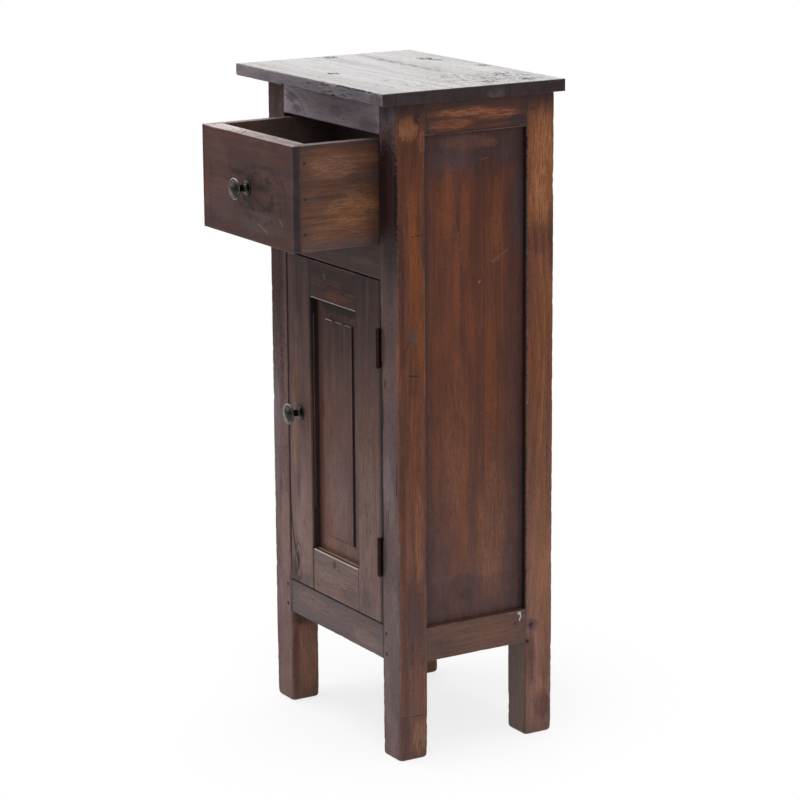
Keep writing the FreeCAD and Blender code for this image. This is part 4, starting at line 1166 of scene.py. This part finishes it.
# %% Stained boards of the sides
def finish(node, grain, seed, marks=(), **look):
    """Gives a packed board a stained finish of its own, worked out from its box."""
    nodes[node].data.materials[0] = stained_wood(f"{node}_finish", *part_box(node), grain, seed, marks, **look)


def side_panel_marks(side):
    """Marks of a side panel that looks towards +x (side 1) or -x (side -1)."""
    on_panel = marks_on("x", 159 * side, deep=4)
    return [
        *on_panel(spot, (36, 750, 12, 60, rust, 0.32), (62, 715, 9, 70, rust, 0.38),
                  (50, 640, 6, 80, rust, 0.38), (112, 725, 9, 60, rust, 0.38),
                  (100, 480, 12, 140, rust, 0.24), (60, 330, 7, 110, rust, 0.2)),
        *on_panel(wiped, (104, 300, 30, 110, "z", (0.32, 0.125, 0.048), 0.26),
                  (48, 430, 26, 140, "z", (0.25, 0.085, 0.03), 0.24)),
        *on_panel(spot, (60, 226, 34, 22, (0.036, 0.016, 0.022), 0.66),
                  (134, 256, 22, 50, (0.044, 0.02, 0.026), 0.58),
                  (14, 246, 24, 62, (0.05, 0.024, 0.032), 0.5)),
        *on_panel(line, ((91, 800, 91.6, 600, 90.6, 340), 1.4, plum, 0.6)),
        painted_floor_light(amount=0.36),
        shade(BACK, 122, 152, (0.034, 0.016, 0.02), 0.78, 30),
        shade(FRONT, -22, 0, (0.036, 0.017, 0.02), 0.62, 18),
        *on_panel(spot, (148, 730, 18, 70, (0.05, 0.034, 0.042), 0.65)),
        # partly painted shade under the side top rail and the overhanging top, partly stain
        shade(UP, 758, 818, (0.04, 0.02, 0.026), 0.78, 70),
        *on_panel(spot, (64, 824, 46, 11, (0.17, 0.075, 0.055), 0.42),
                  (100, 820, 14, 7, (0.24, 0.085, 0.04), 0.4), (48, 803, 42, 18, (0.075, 0.06, 0.076), 0.3),
                  (122, 806, 16, 12, (0.065, 0.05, 0.064), 0.35)),
        shade(DOWN, -250, -186, (0.04, 0.018, 0.02), 0.72, 90),
        *on_panel(line, ((103, 662, 130, 677), 0.5, pale, 0.5), ((106, 661, 116, 666), 0.4, pale, 0.45),
                  ((83, 637, 86, 639), 0.6, chalk, 0.5), ((87, 799, 98, 801), 0.5, pale, 0.5)),
        *on_panel(specks, (77, 500, 76, 330, 30, 0.4, 0.3), deep=5),
        *on_panel(checks, (77, 500, 80, 360, "z", 0.14, tar, 0.4), deep=5),
    ]


panel_look = {"ground": (0.093, 0.0235, 0.0098), "warm": (0.170, 0.042, 0.0118), "warmth": 0.8, "soak": 0.3,
              "cloud": 0.4, "rub": 0.0, "rings": 0.18, "end_soak": 0.0, "gloss": 0.34, "fibre": 0.22}
finish("right_side_panel", "z", 71, side_panel_marks(1), **panel_look)
finish("left_side_panel", "z", 72, side_panel_marks(-1), **panel_look)
finish("back_panel", "z", 73, [shade(UP, 740, 850, plum, 0.7, 90)], **panel_look)
print("3 panels finished")


# %% [markdown]
# ## The drawer
# Its front was cut from a board with a wild, dark figure, drawn here as broken rings and swirls round the
# knob. The arrises on top are bare from many hands, and what stays in the case is dull, because no light gets
# there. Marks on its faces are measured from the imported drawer, so they follow it if its place changes.

# %% Where the drawer is
drawer_low, drawer_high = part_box("drawer_front")
drawer_face, drawer_top = -drawer_low.y / MM, drawer_high.z / MM
side_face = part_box("drawer_side_right")[1].x / MM
drawer_z = (drawer_low.z + drawer_high.z) / 2 / MM
side_front = -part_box("drawer_side_right")[0].y / MM
on_drawer = marks_on("y", -drawer_face, middle=(0, drawer_z))
on_drawer_side = marks_on("x", side_face, deep=4, middle=(0, drawer_z))
print(f"drawer face at {drawer_face:.2f} mm, its top at {drawer_top:.2f} mm, its side at {side_face:.2f} mm")

# %% Marks of the drawer
swirl = (0.013, 0.008, 0.009)


def worn_top(amount, colour=(0.33, 0.275, 0.275)):
    """Bare wood on the upper edge of a board of the drawer."""
    return shade(UP, drawer_top - 1.0, drawer_top - 0.5, colour, amount, 0.8)


drawer_front_marks = [
    # painted shade: the drawer front coloured darker, as a front that droops and faces a little down is shaded
    front_face_tone(drawer_face, (0.036, 0.019, 0.021), 0.58),
    *on_drawer(spot, (-112, 0, 7, 60, rust, 0.2), (-70, -24, 44, 34, (0.1, 0.06, 0.062), 0.4),
               (-82, 32, 34, 22, (0.12, 0.058, 0.05), 0.3), (58, 20, 30, 12, (0.13, 0.062, 0.048), 0.25),
               (30, -42, 80, 18, (0.075, 0.056, 0.06), 0.45), (-26, 17, 26, 6, swirl, 0.7),
               (10, 13, 14, 7, swirl, 0.75), (44, 5, 24, 6, swirl, 0.75), (2, -15, 18, 7, swirl, 0.6)),
    *on_drawer(line, ((24, -13, 40, -20, 58, -22, 70, -20), 5.0, swirl, 0.45)),
    *on_drawer(spot, (60, -21, 14, 4, swirl, 0.45)),
    *on_drawer(ring, (30, -3, 44, 22, 0.16, 0.75, swirl, 0.7),
               (38, -5, 62, 36, 0.12, 0.65, swirl, 0.55), deep=8),
    *on_drawer(line, ((-45, 44, -46, 20), 4.5, swirl, 0.4)),
    *on_drawer(spot, (86, 0, 8, 16, swirl, 0.3), (72, 28, 20, 26, swirl, 0.25)),
    *on_drawer(line, ((30, -44, 52, -52), 0.8, pale, 0.4), ((84, -30, 96, -38), 0.9, pale, 0.45)),
    *on_drawer(checks, (0, 0, 122, 68, "x", 0.35, tar, 0.6), deep=4),
    shade(RIGHT, 116, 122, slate, 0.6, 8),
    shade(RIGHT, side_face - 0.8, side_face - 0.3, (0.024, 0.016, 0.022), 0.9, 0.5),
    worn_top(0.85),
    spot((-90, -drawer_face + 12, drawer_top), (60, 16, 3), (0.6, 0.54, 0.54), 0.6),
    checks((0, -drawer_face + 12, drawer_top), (124, 14, 3), "x", 0.6, tar, 0.8),
    *line([(82, 7 - drawer_face, drawer_top), (102, 11 - drawer_face, drawer_top),
           (120, 9 - drawer_face, drawer_top)], 1.3, tar, 0.75),
    shade(DOWN, -drawer_low.z / MM - 5, -drawer_low.z / MM - 1, slate, 0.5, 5),
    *on_drawer(specks, (0, 0, 122, 68, 18, 0.5, 0.35, pale), deep=6),
]
drawer_side_marks = [
    *on_drawer_side(wiped, (-84, -20, 50, 24, "y", (0.36, 0.15, 0.05), 0.29),
                    (-112, 38, 42, 18, "y", (0.32, 0.15, 0.095), 0.34)),
    *on_drawer_side(spot, (-60, 22, 45, 9, plum, 0.45), (-120, 2, 30, 7, plum, 0.4)),
    *on_drawer_side(line, ((-60, -62, -76, -50, -100, -43, -128, -41), 0.7, (0.28, 0.18, 0.13), 0.35)),
    shade(DOWN, -drawer_low.z / MM - 20, -drawer_low.z / MM - 4, (0.095, 0.062, 0.062), 0.65, 22),
    shade(UP, drawer_top - 12, drawer_top - 4, plum, 0.6, 8),
    worn_top(0.7, (0.17, 0.14, 0.14)),
    shade(FRONT, side_front - 3.0, side_front - 1.2, tar, 0.8, 1.5),
    *on_drawer_side(checks, (-90, 0, 70, 68, "y", 0.4, tar, 0.5), deep=5),
    *on_drawer_side(specks, (-90, 0, 70, 68, 14, 0.45, 0.45, pale), deep=5),
    # painted shadow of the case: the side darker where it goes into it
    shade(BACK, -72, -44, tar, 0.55, 14),
]
print("drawer front and side:", len(drawer_front_marks), len(drawer_side_marks), "marks")

# %% The drawer's boards
into_the_dark = shade(BACK, -150, -66, (0.090, 0.066, 0.066), 0.93, 30)
drawer_wood = {"ground": (0.100, 0.036, 0.018), "warm": (0.195, 0.078, 0.033), "rings": 0.25,
               "ring_width": 8 * MM, "fibre": 0.26}
inside_look = {"ground": (0.060, 0.024, 0.013), "warm": (0.13, 0.056, 0.025), "soak": 0.5}
finish("drawer_front", "x", 74, drawer_front_marks, gloss=0.22, sway=0.05, ring_width=9 * MM, fibre=0.18)
finish("drawer_side_left", "y", 75, [into_the_dark, worn_top(0.6)], **drawer_wood, warmth=0.8)
finish("drawer_side_right", "y", 76, drawer_side_marks, **drawer_wood, warmth=0.8, soak=0.15, cloud=0.4)
finish("drawer_back", "x", 77, [into_the_dark, worn_top(0.6)], **inside_look)
finish("drawer_bottom", "x", 78, [into_the_dark], **inside_look)
print("the drawer's boards finished")


# %% [markdown]
# ## The door
# A frame of two stiles and two rails holds a raised panel. A painted sheen greys its front, its lower part
# is painted paler for the light of the white floor, and under the open drawer a painted shadow deepens
# upwards. Painted shade lies dark in the groove round the panel and on its bevels, and painted highlights
# run along the beads.

# %% Where the door's parts are
door_face = 45.85
pane_left, pane_right = -62.0, 62.5
field_left, field_right, field_low, field_high = -37.0, 37.5, 267.0, 569.5
field_face, groove_face = 38.85, 36.0
on_door = marks_on("y", -door_face, line_at=-46)
on_field = marks_on("y", -field_face, line_at=-38.9)
# painted shadow of the open drawer on the door's upper part, with no varnish coat so no sheen there
drawer_shadow = shade(UP, 400, 620, (0.026, 0.012, 0.013), 0.92, 60, 0.0)
# painted sheen: a grey veil on the door's front faces
door_sheen = front_face_tone(door_face, (0.105, 0.076, 0.078), 0.50)
rail_ends = [
    shade(LEFT, -pane_left - 3.6, -pane_left - 1.6, tar, 0.9, 1.6),
    shade(RIGHT, pane_right - 3.4, pane_right - 1.2, tar, 0.75, 1.6),
]
# painted floor light: the door paler towards the floor
door_floor_light = shade(DOWN, -470, -270, (0.27, 0.185, 0.170), 0.34, 90)
print("the panel's field is", field_right - field_left, "x", field_high - field_low, "mm")

# %% Marks of the stiles
left_stile_marks = [
    door_sheen,
    door_floor_light,
    *on_door(spot, (-104, 420, 7, 150, rust, 0.2), (-74, 380, 6, 130, rust, 0.14)),
    *on_door(line, ((-124, 350, -123.5, 300, -121, 270, -117, 246, -111, 226, -104, 212), 3.4, flame, 0.9),
             ((-110, 247, -98, 235, -86, 229, -76, 222), 1.8, flame, 0.6)),
    *on_door(spot, (-103.5, 214, 5, 19, flame, 0.9)),
    *on_door(ring, (-103, 214, 10, 26, 0.2, 0.8, flame, 0.6), deep=4),
    *on_door(spot, (-117, 199, 12, 20, flame, 0.75), (-99, 330, 4, 46, slate, 0.7),
             (-84, 190, 16, 14, slate, 0.5)),
    spot((-86, -46, 273), (2.4, 3, 7), tar, 0.8),
    *on_door(line, ((-98, 520, -97, 470, -99, 430), 1.6, flame, 0.5)),
    *on_door(checks, (-92, 400, 32, 220, "z", 0.45, tar, 0.7), deep=4),
    *on_door(line, ((-113, 541, -103, 531, -91, 523), 1.0, tar, 0.7)),
    drawer_shadow,
    # painted shade on the stile's inner wall beside the panel
    shade(RIGHT, pane_left - 2.4, pane_left - 1.0, tar, 0.95, 1.2),
    # painted floor light: pale spots on the lower stile
    *on_door(spot, (-84, 262, 22, 70, (0.26, 0.165, 0.14), 0.4),
             (-112, 400, 6, 90, (0.22, 0.15, 0.115), 0.35)),
    # painted highlight along the bead beside the panel, and painted glints on it below
    *line([(pane_left, -40.5, 300), (pane_left, -41, 430), (pane_left, -40.5, 570)], 1.8,
          (0.15, 0.08, 0.06), 0.6),
    specks((pane_left - 0.6, -44, 400), (3, 3, 170), 12, 0.7, 0.3),
    *on_door(specks, (-92, 400, 32, 210, 24, 0.5, 0.25), deep=4),
]
right_stile_marks = [
    door_sheen,
    door_floor_light,
    *on_door(spot, (96, 320, 10, 120, (0.16, 0.1, 0.085), 0.4), (84, 480, 8, 80, rust, 0.16)),
    *on_door(line, ((76, 395, 77, 376), 1.6, tar, 0.8), ((80, 342, 83, 318, 84, 300), 1.2, tar, 0.7),
             ((66, 330, 66.5, 316), 1.6, tar, 0.7), ((97, 270, 96, 250, 92, 232), 1.4, flame, 0.7),
             ((72, 236, 78, 214, 90, 196), 1.6, flame, 0.6)),
    *on_door(spot, (88, 205, 24, 18, slate, 0.45), (115, 360, 6, 60, bloom_and_sheen, 0.35)),
    *on_door(checks, (92, 390, 32, 220, "z", 0.5, tar, 0.75), deep=4),
    drawer_shadow,
    shade(RIGHT, 116, 121, tar, 0.8, 8),
    shade(LEFT, -pane_right - 0.4, -pane_right + 0.6, plum, 0.6, 0.6),
    *on_door(specks, (92, 400, 32, 210, 24, 0.5, 0.25), deep=4),
]
print("stiles:", len(left_stile_marks), len(right_stile_marks), "marks")

# %% Marks of the door's rails
door_top_marks = [
    front_face_tone(door_face, plum, 0.75),
    *rail_ends,
    *on_door(spot, (-23, 629, 6, 6, (0.1, 0.085, 0.09), 0.5), deep=2),
    *on_door(ring, (-23, 629, 5.5, 5.5, 0.25, 0.9, tar, 0.7), deep=4),
    *on_door(spot, (10, 606, 40, 7, rust, 0.18), (40, 622, 20, 8, tar, 0.5)),
    *on_door(checks, (0, 620, 62, 26, "x", 0.6, tar, 0.8), deep=4),
    # painted highlight along the bead under the top rail
    *on_door(line, ((-58, 595.6, 58.5, 595.6), 2.0, (0.36, 0.26, 0.25), 0.8, 1.0), level=-45.2),
]
door_bottom_marks = [
    door_sheen,
    door_floor_light,
    *rail_ends,
    *on_door(spot, (-26, 214, 40, 24, (0.17, 0.115, 0.095), 0.4),
             (34, 224, 30, 18, (0.16, 0.11, 0.095), 0.3), (-4, 232, 5, 7, plum, 0.7),
             (40, 200, 22, 12, slate, 0.5)),
    *on_door(line, ((-50, 226, -30, 222, -20, 210), 1.0, plum, 0.6),
             ((14, 206, 24, 196, 30, 188), 1.4, tar, 0.6)),
    *on_door(checks, (0, 212, 60, 28, "x", 0.45, tar, 0.7), deep=4),
    # painted highlights along the bottom bead and its ledge, with a painted shadow line between them
    *on_door(line, ((-58, 240.8, 58.5, 240.8), 1.7, (0.42, 0.32, 0.27), 0.8, 1.0), level=-45.2),
    stroke((-59, -42.2, 242.0), (59.5, -42.2, 242.0), 2.4, tar, 0.9),
    stroke((-59, -38.4, 242.0), (59.5, -38.4, 242.0), 3.2, (0.36, 0.27, 0.23), 0.85, 1.0),
]
print("door rails:", len(door_top_marks), len(door_bottom_marks), "marks")

# %% Marks of the raised panel
# painted shade: the bevels turned from the light, the dark groove round the panel and shadow lines at the
# field's step
panel_shading = [
    shade(LEFT, -field_left + 0.5, -field_left + 3, (0.05, 0.02, 0.017), 0.7, 2),
    shade(RIGHT, field_right + 0.5, field_right + 3, (0.05, 0.02, 0.018), 0.8, 2),
    *line([(pane_left, -groove_face, 250), (pane_left, -groove_face, 590)], 13, tar, 0.9),
    *line([(field_right + 1.2, -37.6, field_low), (field_right + 1.2, -37.6, field_high)], 5.5, tar, 0.95),
    *line([(field_left, -groove_face - 0.6, field_high + 18),
           (field_right, -groove_face - 0.6, field_high + 18)], 14, tar, 0.8),
    *line([(field_left - 0.5, -38.6, field_low), (field_left - 0.5, -38.6, field_high)], 1.2, tar, 0.6),
    *line([(field_left, -37.8, field_low - 0.8), (field_right, -37.8, field_low - 0.8)], 1.6, tar, 0.8),
]
door_panel_marks = [
    door_sheen,
    front_face_tone(field_face, (0.12, 0.095, 0.105), 0.22),
    *on_field(spot, (-12, 500, 6, 60, rust, 0.22), (10, 430, 6, 80, rust, 0.1),
              (0, 330, 34, 90, (0.17, 0.125, 0.125), 0.34)),
    *on_field(checks, (0, 420, 36, 150, "z", 0.3, plum, 0.6), deep=4),
    drawer_shadow,
    *panel_shading,
    # painted highlights: light dashes along the field's top step
    *on_field(line, ((-33, 569.2, -16, 569.2), 1.3, (0.45, 0.38, 0.36), 0.8, 0.6),
              ((-5, 569.2, 12, 569.2), 1.1, (0.36, 0.3, 0.29), 0.7, 0.6),
              ((20, 569.2, 34, 569.2), 1.1, (0.36, 0.3, 0.29), 0.6, 0.6)),
    *on_field(specks, (0, 420, 38, 160, 28, 0.4, 0.3), deep=4),
]
print("raised panel:", len(door_panel_marks), "marks")

# %% The door's boards
door_look = {"gloss": 0.24, "film": 0.28, "fibre": 0.32, "soak": 0.2}
flat_look = {**door_look, "rub": 0.0, "end_soak": 0.0, "cloud": 0.4, "rings": 0.2}
finish("door_stile_left", "z", 79, left_stile_marks, **door_look, ring_width=8 * MM)
finish("door_stile_right", "z", 80, right_stile_marks, **door_look, ring_width=7 * MM)
finish("door_top_rail", "x", 81, door_top_marks, gloss=0.20, soak=0.4)
finish("door_bottom_rail", "x", 82, door_bottom_marks, **door_look)
finish("door_panel", "z", 83, door_panel_marks, **flat_look)
print("the door's boards finished")

# %% Boards inside
inside_boards = ("cupboard_floor", "cupboard_shelf", "drawer_runner_right", "drawer_runner_left")
for number, node in enumerate(inside_boards):
    finish(node, "x" if "cupboard" in node else "y", 91 + number, rub=0.1)
print(len(inside_boards), "inside boards finished")


# %% Small wooden pieces that share a finish
def share_finish(material, *names):
    """Gives several nodes one finish."""
    for name in names:
        nodes[name].data.materials[0] = material


around = (-0.5, -0.43, -0.05), (0.5, 0.57, 0.95)  # a box round the whole table, in m
inside_wood = stained_wood("inside_wood_finish", *around, "y", 101, rub=0.0, soak=0.3)
share_finish(inside_wood, "floor_cleats", "shelf_cleats", "drawer_guides", "drawer_kickers", "drawer_stops",
             "top_cleats")
print("small pieces finished")


# %% [markdown]
# ## Turned shapes: pegs and knobs
# A peg's end and a knob are both round, so each is a profile turned about an axis: the angle is one
# parameter of the grid and the place along the profile is the other. The profile starts and ends on the
# axis, where the grid closes in one point.

# %% A turned surface
TURNS = {"x": ((0, 1, 0), (0, 0, 1), (1, 0, 0)), "y": ((0, 0, 1), (1, 0, 0), (0, 1, 0))}


def turned_surface(profile, base, axis, sign, steps=48):
    """Points and faces of a turned shape. At an angle a, a profile point (out, radius) lies at the base plus
    out along the axis plus radius times (cos a, sin a) across it. The profile starts and ends on the axis."""
    across, up, outward = (np.array(direction, float) for direction in TURNS[axis])
    outward = outward * sign
    across = across * sign
    angles = np.linspace(0, 2 * pi, steps, endpoint=False)
    out, radius = profile[1:-1, 0, None, None], profile[1:-1, 1, None, None]
    spokes = np.cos(angles)[:, None] * across + np.sin(angles)[:, None] * up
    rings = np.array(base) + out * outward + radius * spokes
    poles = np.array(base) + profile[[0, -1], 0, None] * outward
    points = np.concatenate([rings.reshape(-1, 3), poles])
    faces = skin(rings, closed_ends=False)
    last_ring = (len(rings) - 1) * steps
    start, tip = len(points) - 2, len(points) - 1
    for step in range(steps):
        beside = (step + 1) % steps
        faces.append([start, beside, step])
        faces.append([last_ring + step, last_ring + beside, tip])
    return points, faces


def turned_piece(name, surfaces, material):
    """One object from several turned surfaces."""
    points, faces, count = [], [], 0
    for some_points, some_faces in surfaces:
        points.append(some_points)
        faces += [[index + count for index in face] for face in some_faces]
        count += len(some_points)
    return new_piece(name, np.concatenate(points), faces, material)


print("a shape can be turned about", " or ".join(TURNS))


# %% Pegs: the ends that show
peg_radius = 3.0 * MM
peg_from_post_edge = 9.0 * MM
peg_from_rail_edge = {"front": 9.5 * MM, "back": 14.5 * MM}
peg_proud, peg_depth = 0.25 * MM, 2 * MM
peg_turn = np.linspace(0, pi / 2, 5)
peg_profile = np.concatenate([
    [(-peg_depth, 0), (-peg_depth, peg_radius)],
    np.stack([peg_proud * np.sin(peg_turn) * 0.7, peg_radius * (0.93 + 0.07 * np.cos(peg_turn))], axis=1),
    [(0.9 * peg_proud, 0.5 * peg_radius), (peg_proud, 0)],
])

peg_ends = {"front_pegs": [], "back_pegs": [], "side_pegs": []}
post_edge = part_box("post_front_right")[0].x
for side, sign in (("front", -1), ("back", 1)):
    base_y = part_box(f"post_{side}_right")[0 if side == "front" else 1].y
    for rail in (f"{side}_top_rail", f"{side}_bottom_rail"):
        low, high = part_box(rail)
        for x in (-post_edge - peg_from_post_edge, post_edge + peg_from_post_edge):
            for z in (low.z + peg_from_rail_edge[side], high.z - peg_from_rail_edge[side]):
                peg_ends[f"{side}_pegs"].append(turned_surface(peg_profile, (x, base_y, z), "y", sign, 20))
for rail in ("right_top_rail", "right_bottom_rail"):
    low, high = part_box(rail)
    z = (low.z + high.z) / 2
    front_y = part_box("post_front_right")[1].y - peg_from_post_edge
    back_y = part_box("post_back_right")[0].y + peg_from_post_edge
    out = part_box("post_front_right")[1].x
    for y in (front_y, back_y):
        for sign in (1, -1):
            peg_ends["side_pegs"].append(turned_surface(peg_profile, (sign * out, y, z), "x", sign, 20))

peg_marks = [
    front_face_tone(post_face, slate, 0.5),
    *[spot((x, -post_face, z), (5, 4, 5), tar, 0.85) for x in (-134, 134) for z in (143.5, 171.5)],
    spot((post_side, 162, 158), (4, 6, 6), tar, 0.9),
]
peg_wood = stained_wood("peg_finish", *around, "y", 102, peg_marks, rub=0.0)
for node, surfaces in peg_ends.items():
    stand_in(turned_piece(f"{node}_worn", surfaces, peg_wood), node)
    print(node, len(surfaces), "peg ends")


# %% [markdown]
# ## Knobs
# A turned knob of cast metal: a foot with a hollow above it, a short waist, a flare out to the disc, a rolled
# rim, a fine groove inside the rim and a low dome. Each part of the profile is a short formula.

# %% The knob's profile and the two knobs
foot_radius, waist_radius, disc_radius = 10 * MM, 4.5 * MM, 14.5 * MM
foot_height, waist_start, waist_end, knob_height = 1.8 * MM, 7.0 * MM, 10.0 * MM, 23.5 * MM
rim_roll = 1.3 * MM
rim_centre = 18.5 * MM
rim_inside = disc_radius - 2 * rim_roll

turn = np.linspace(0, pi / 2, 9)
foot_edge = np.stack([foot_height * turn / turn[-1], foot_radius + 0.35 * MM * np.sin(2 * turn)], axis=1)
foot_hollow = np.stack([waist_start - (waist_start - foot_height) * np.cos(turn),
                        foot_radius - (foot_radius - waist_radius) * np.sin(turn)], axis=1)
flare_reach = rim_centre - rim_roll - waist_end
flare = np.stack([waist_end + flare_reach * np.sin(turn),
                  disc_radius - rim_roll - (disc_radius - rim_roll - waist_radius) * np.cos(turn)], axis=1)
roll = np.linspace(-pi / 2, pi / 2, 13)
rim = np.stack([rim_centre + rim_roll * np.sin(roll), disc_radius - rim_roll * (1 - np.cos(roll))], axis=1)
shares = np.linspace(1, 0, 12)
dome_base = rim_centre + 0.5 * rim_roll
dome = np.stack([dome_base + (knob_height - dome_base) * (1 - shares ** 2), rim_inside * shares], axis=1)
knob_profile = np.concatenate([[(0, 0)], foot_edge, foot_hollow[1:], flare, rim[1:], dome])


def turned_knob(node, material):
    """A knob on the middle of its CAD box, with its foot on the wood behind it."""
    low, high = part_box(node)
    base = ((low.x + high.x) / 2, high.y, (low.z + high.z) / 2)
    points, faces = turned_surface(knob_profile, base, "y", -1)
    piece = new_piece(f"{node}_turned", points, faces, material)
    from_axis = np.hypot(points[:, 0] - base[0], points[:, 2] - base[2])
    # painted highlight: how much of the glint colour shows, on the rim and most on its left side, which faces
    # the left lamps
    rim_glint = piece.data.attributes.new("rim", "FLOAT", "POINT")
    near_rim = np.clip((from_axis - rim_inside) / (1.6 * rim_roll), 0, 1)
    lit_side = np.clip(0.5 - 0.6 * (points[:, 0] - base[0]) / disc_radius, 0.08, 1)
    rim_glint.data.foreach_set("value", (near_rim * lit_side).astype(np.float32))
    stand_in(piece, node)
    print(piece.name, len(points), "points")


print("knob profile:", len(knob_profile), "points")


# %% [markdown]
# ## Metal and plastic
# The knobs are cast and blackened, with a painted highlight on the left side of the rim: a bright metal
# colour where the light from the left glints. Hinges are painted dark, and screws, nails and the strike plate
# are plain steel. The magnetic catch is brown plastic.

# %% Metal finishes
def metal(name, colour, roughness, mottle=0.25, scale=180, rim_glint=None):
    """A metal whose colour and gloss are broken by soft noise, as handling and old wax leave them. Where the
    piece has an attribute named rim, the given glint colour shows through as a painted highlight."""
    g, shader, material = new_material(name)
    place = g.add("ShaderNodeTexCoord", output="Object")
    spots = g.span(g.noise(place, scale, 4, 0.6), 0.35, 0.7)
    dull = tuple(value * (1 - mottle) for value in colour)
    tone = g.mix(spots, colour, dull)
    if rim_glint is not None:
        rim_share = g.add("ShaderNodeAttribute", output="Fac", attribute_name="rim")
        tone = g.mix(g.times(rim_share, g.span(spots, 1, 0, 0.35, 1)), tone, rim_glint)
    g.feed(shader.inputs["Base Color"], tone)
    g.feed(shader.inputs["Roughness"], g.plus(g.times(spots, mottle * 0.6), roughness))
    shader.inputs["Metallic"].default_value = 1.0
    bump = {"Strength": 0.15, "Distance": 0.1 * MM, "Height": g.noise(place, scale * 6, 3)}
    g.feed(shader.inputs["Normal"], g.add("ShaderNodeBump", bump))
    return material


knob_metal = metal("knob_finish", (0.038, 0.037, 0.034), 0.22, rim_glint=(0.88, 0.82, 0.78))
hinge_metal = metal("hinge_finish", (0.034, 0.020, 0.018), 0.45)
steel = metal("steel_finish", (0.35, 0.34, 0.32), 0.35)
dull_steel = metal("dull_steel_finish", (0.060, 0.046, 0.040), 0.5)
share_finish(hinge_metal, "upper_hinge_post_leaf", "lower_hinge_post_leaf", "upper_hinge_pin",
             "lower_hinge_pin", "upper_hinge_door_leaf", "lower_hinge_door_leaf")
share_finish(steel, "drawer_knob_screw", "door_knob_screw", "door_strike_plate", "top_screws")
share_finish(dull_steel, "drawer_nails", "hinge_screws_post", "hinge_screws_door")
for node in ("drawer_knob", "door_knob"):
    turned_knob(node, knob_metal)

g, shader, catch_plastic = new_material("catch_finish")
place = g.add("ShaderNodeTexCoord", output="Object")
grain = g.noise(place, 900, 3)
g.feed(shader.inputs["Base Color"], g.mix(grain, (0.10, 0.06, 0.036), (0.07, 0.04, 0.024)))
g.feed(shader.inputs["Roughness"], g.span(grain, 0, 1, 0.4, 0.6, smooth=False))
share_finish(catch_plastic, "door_catch")
print("metal and plastic finished")
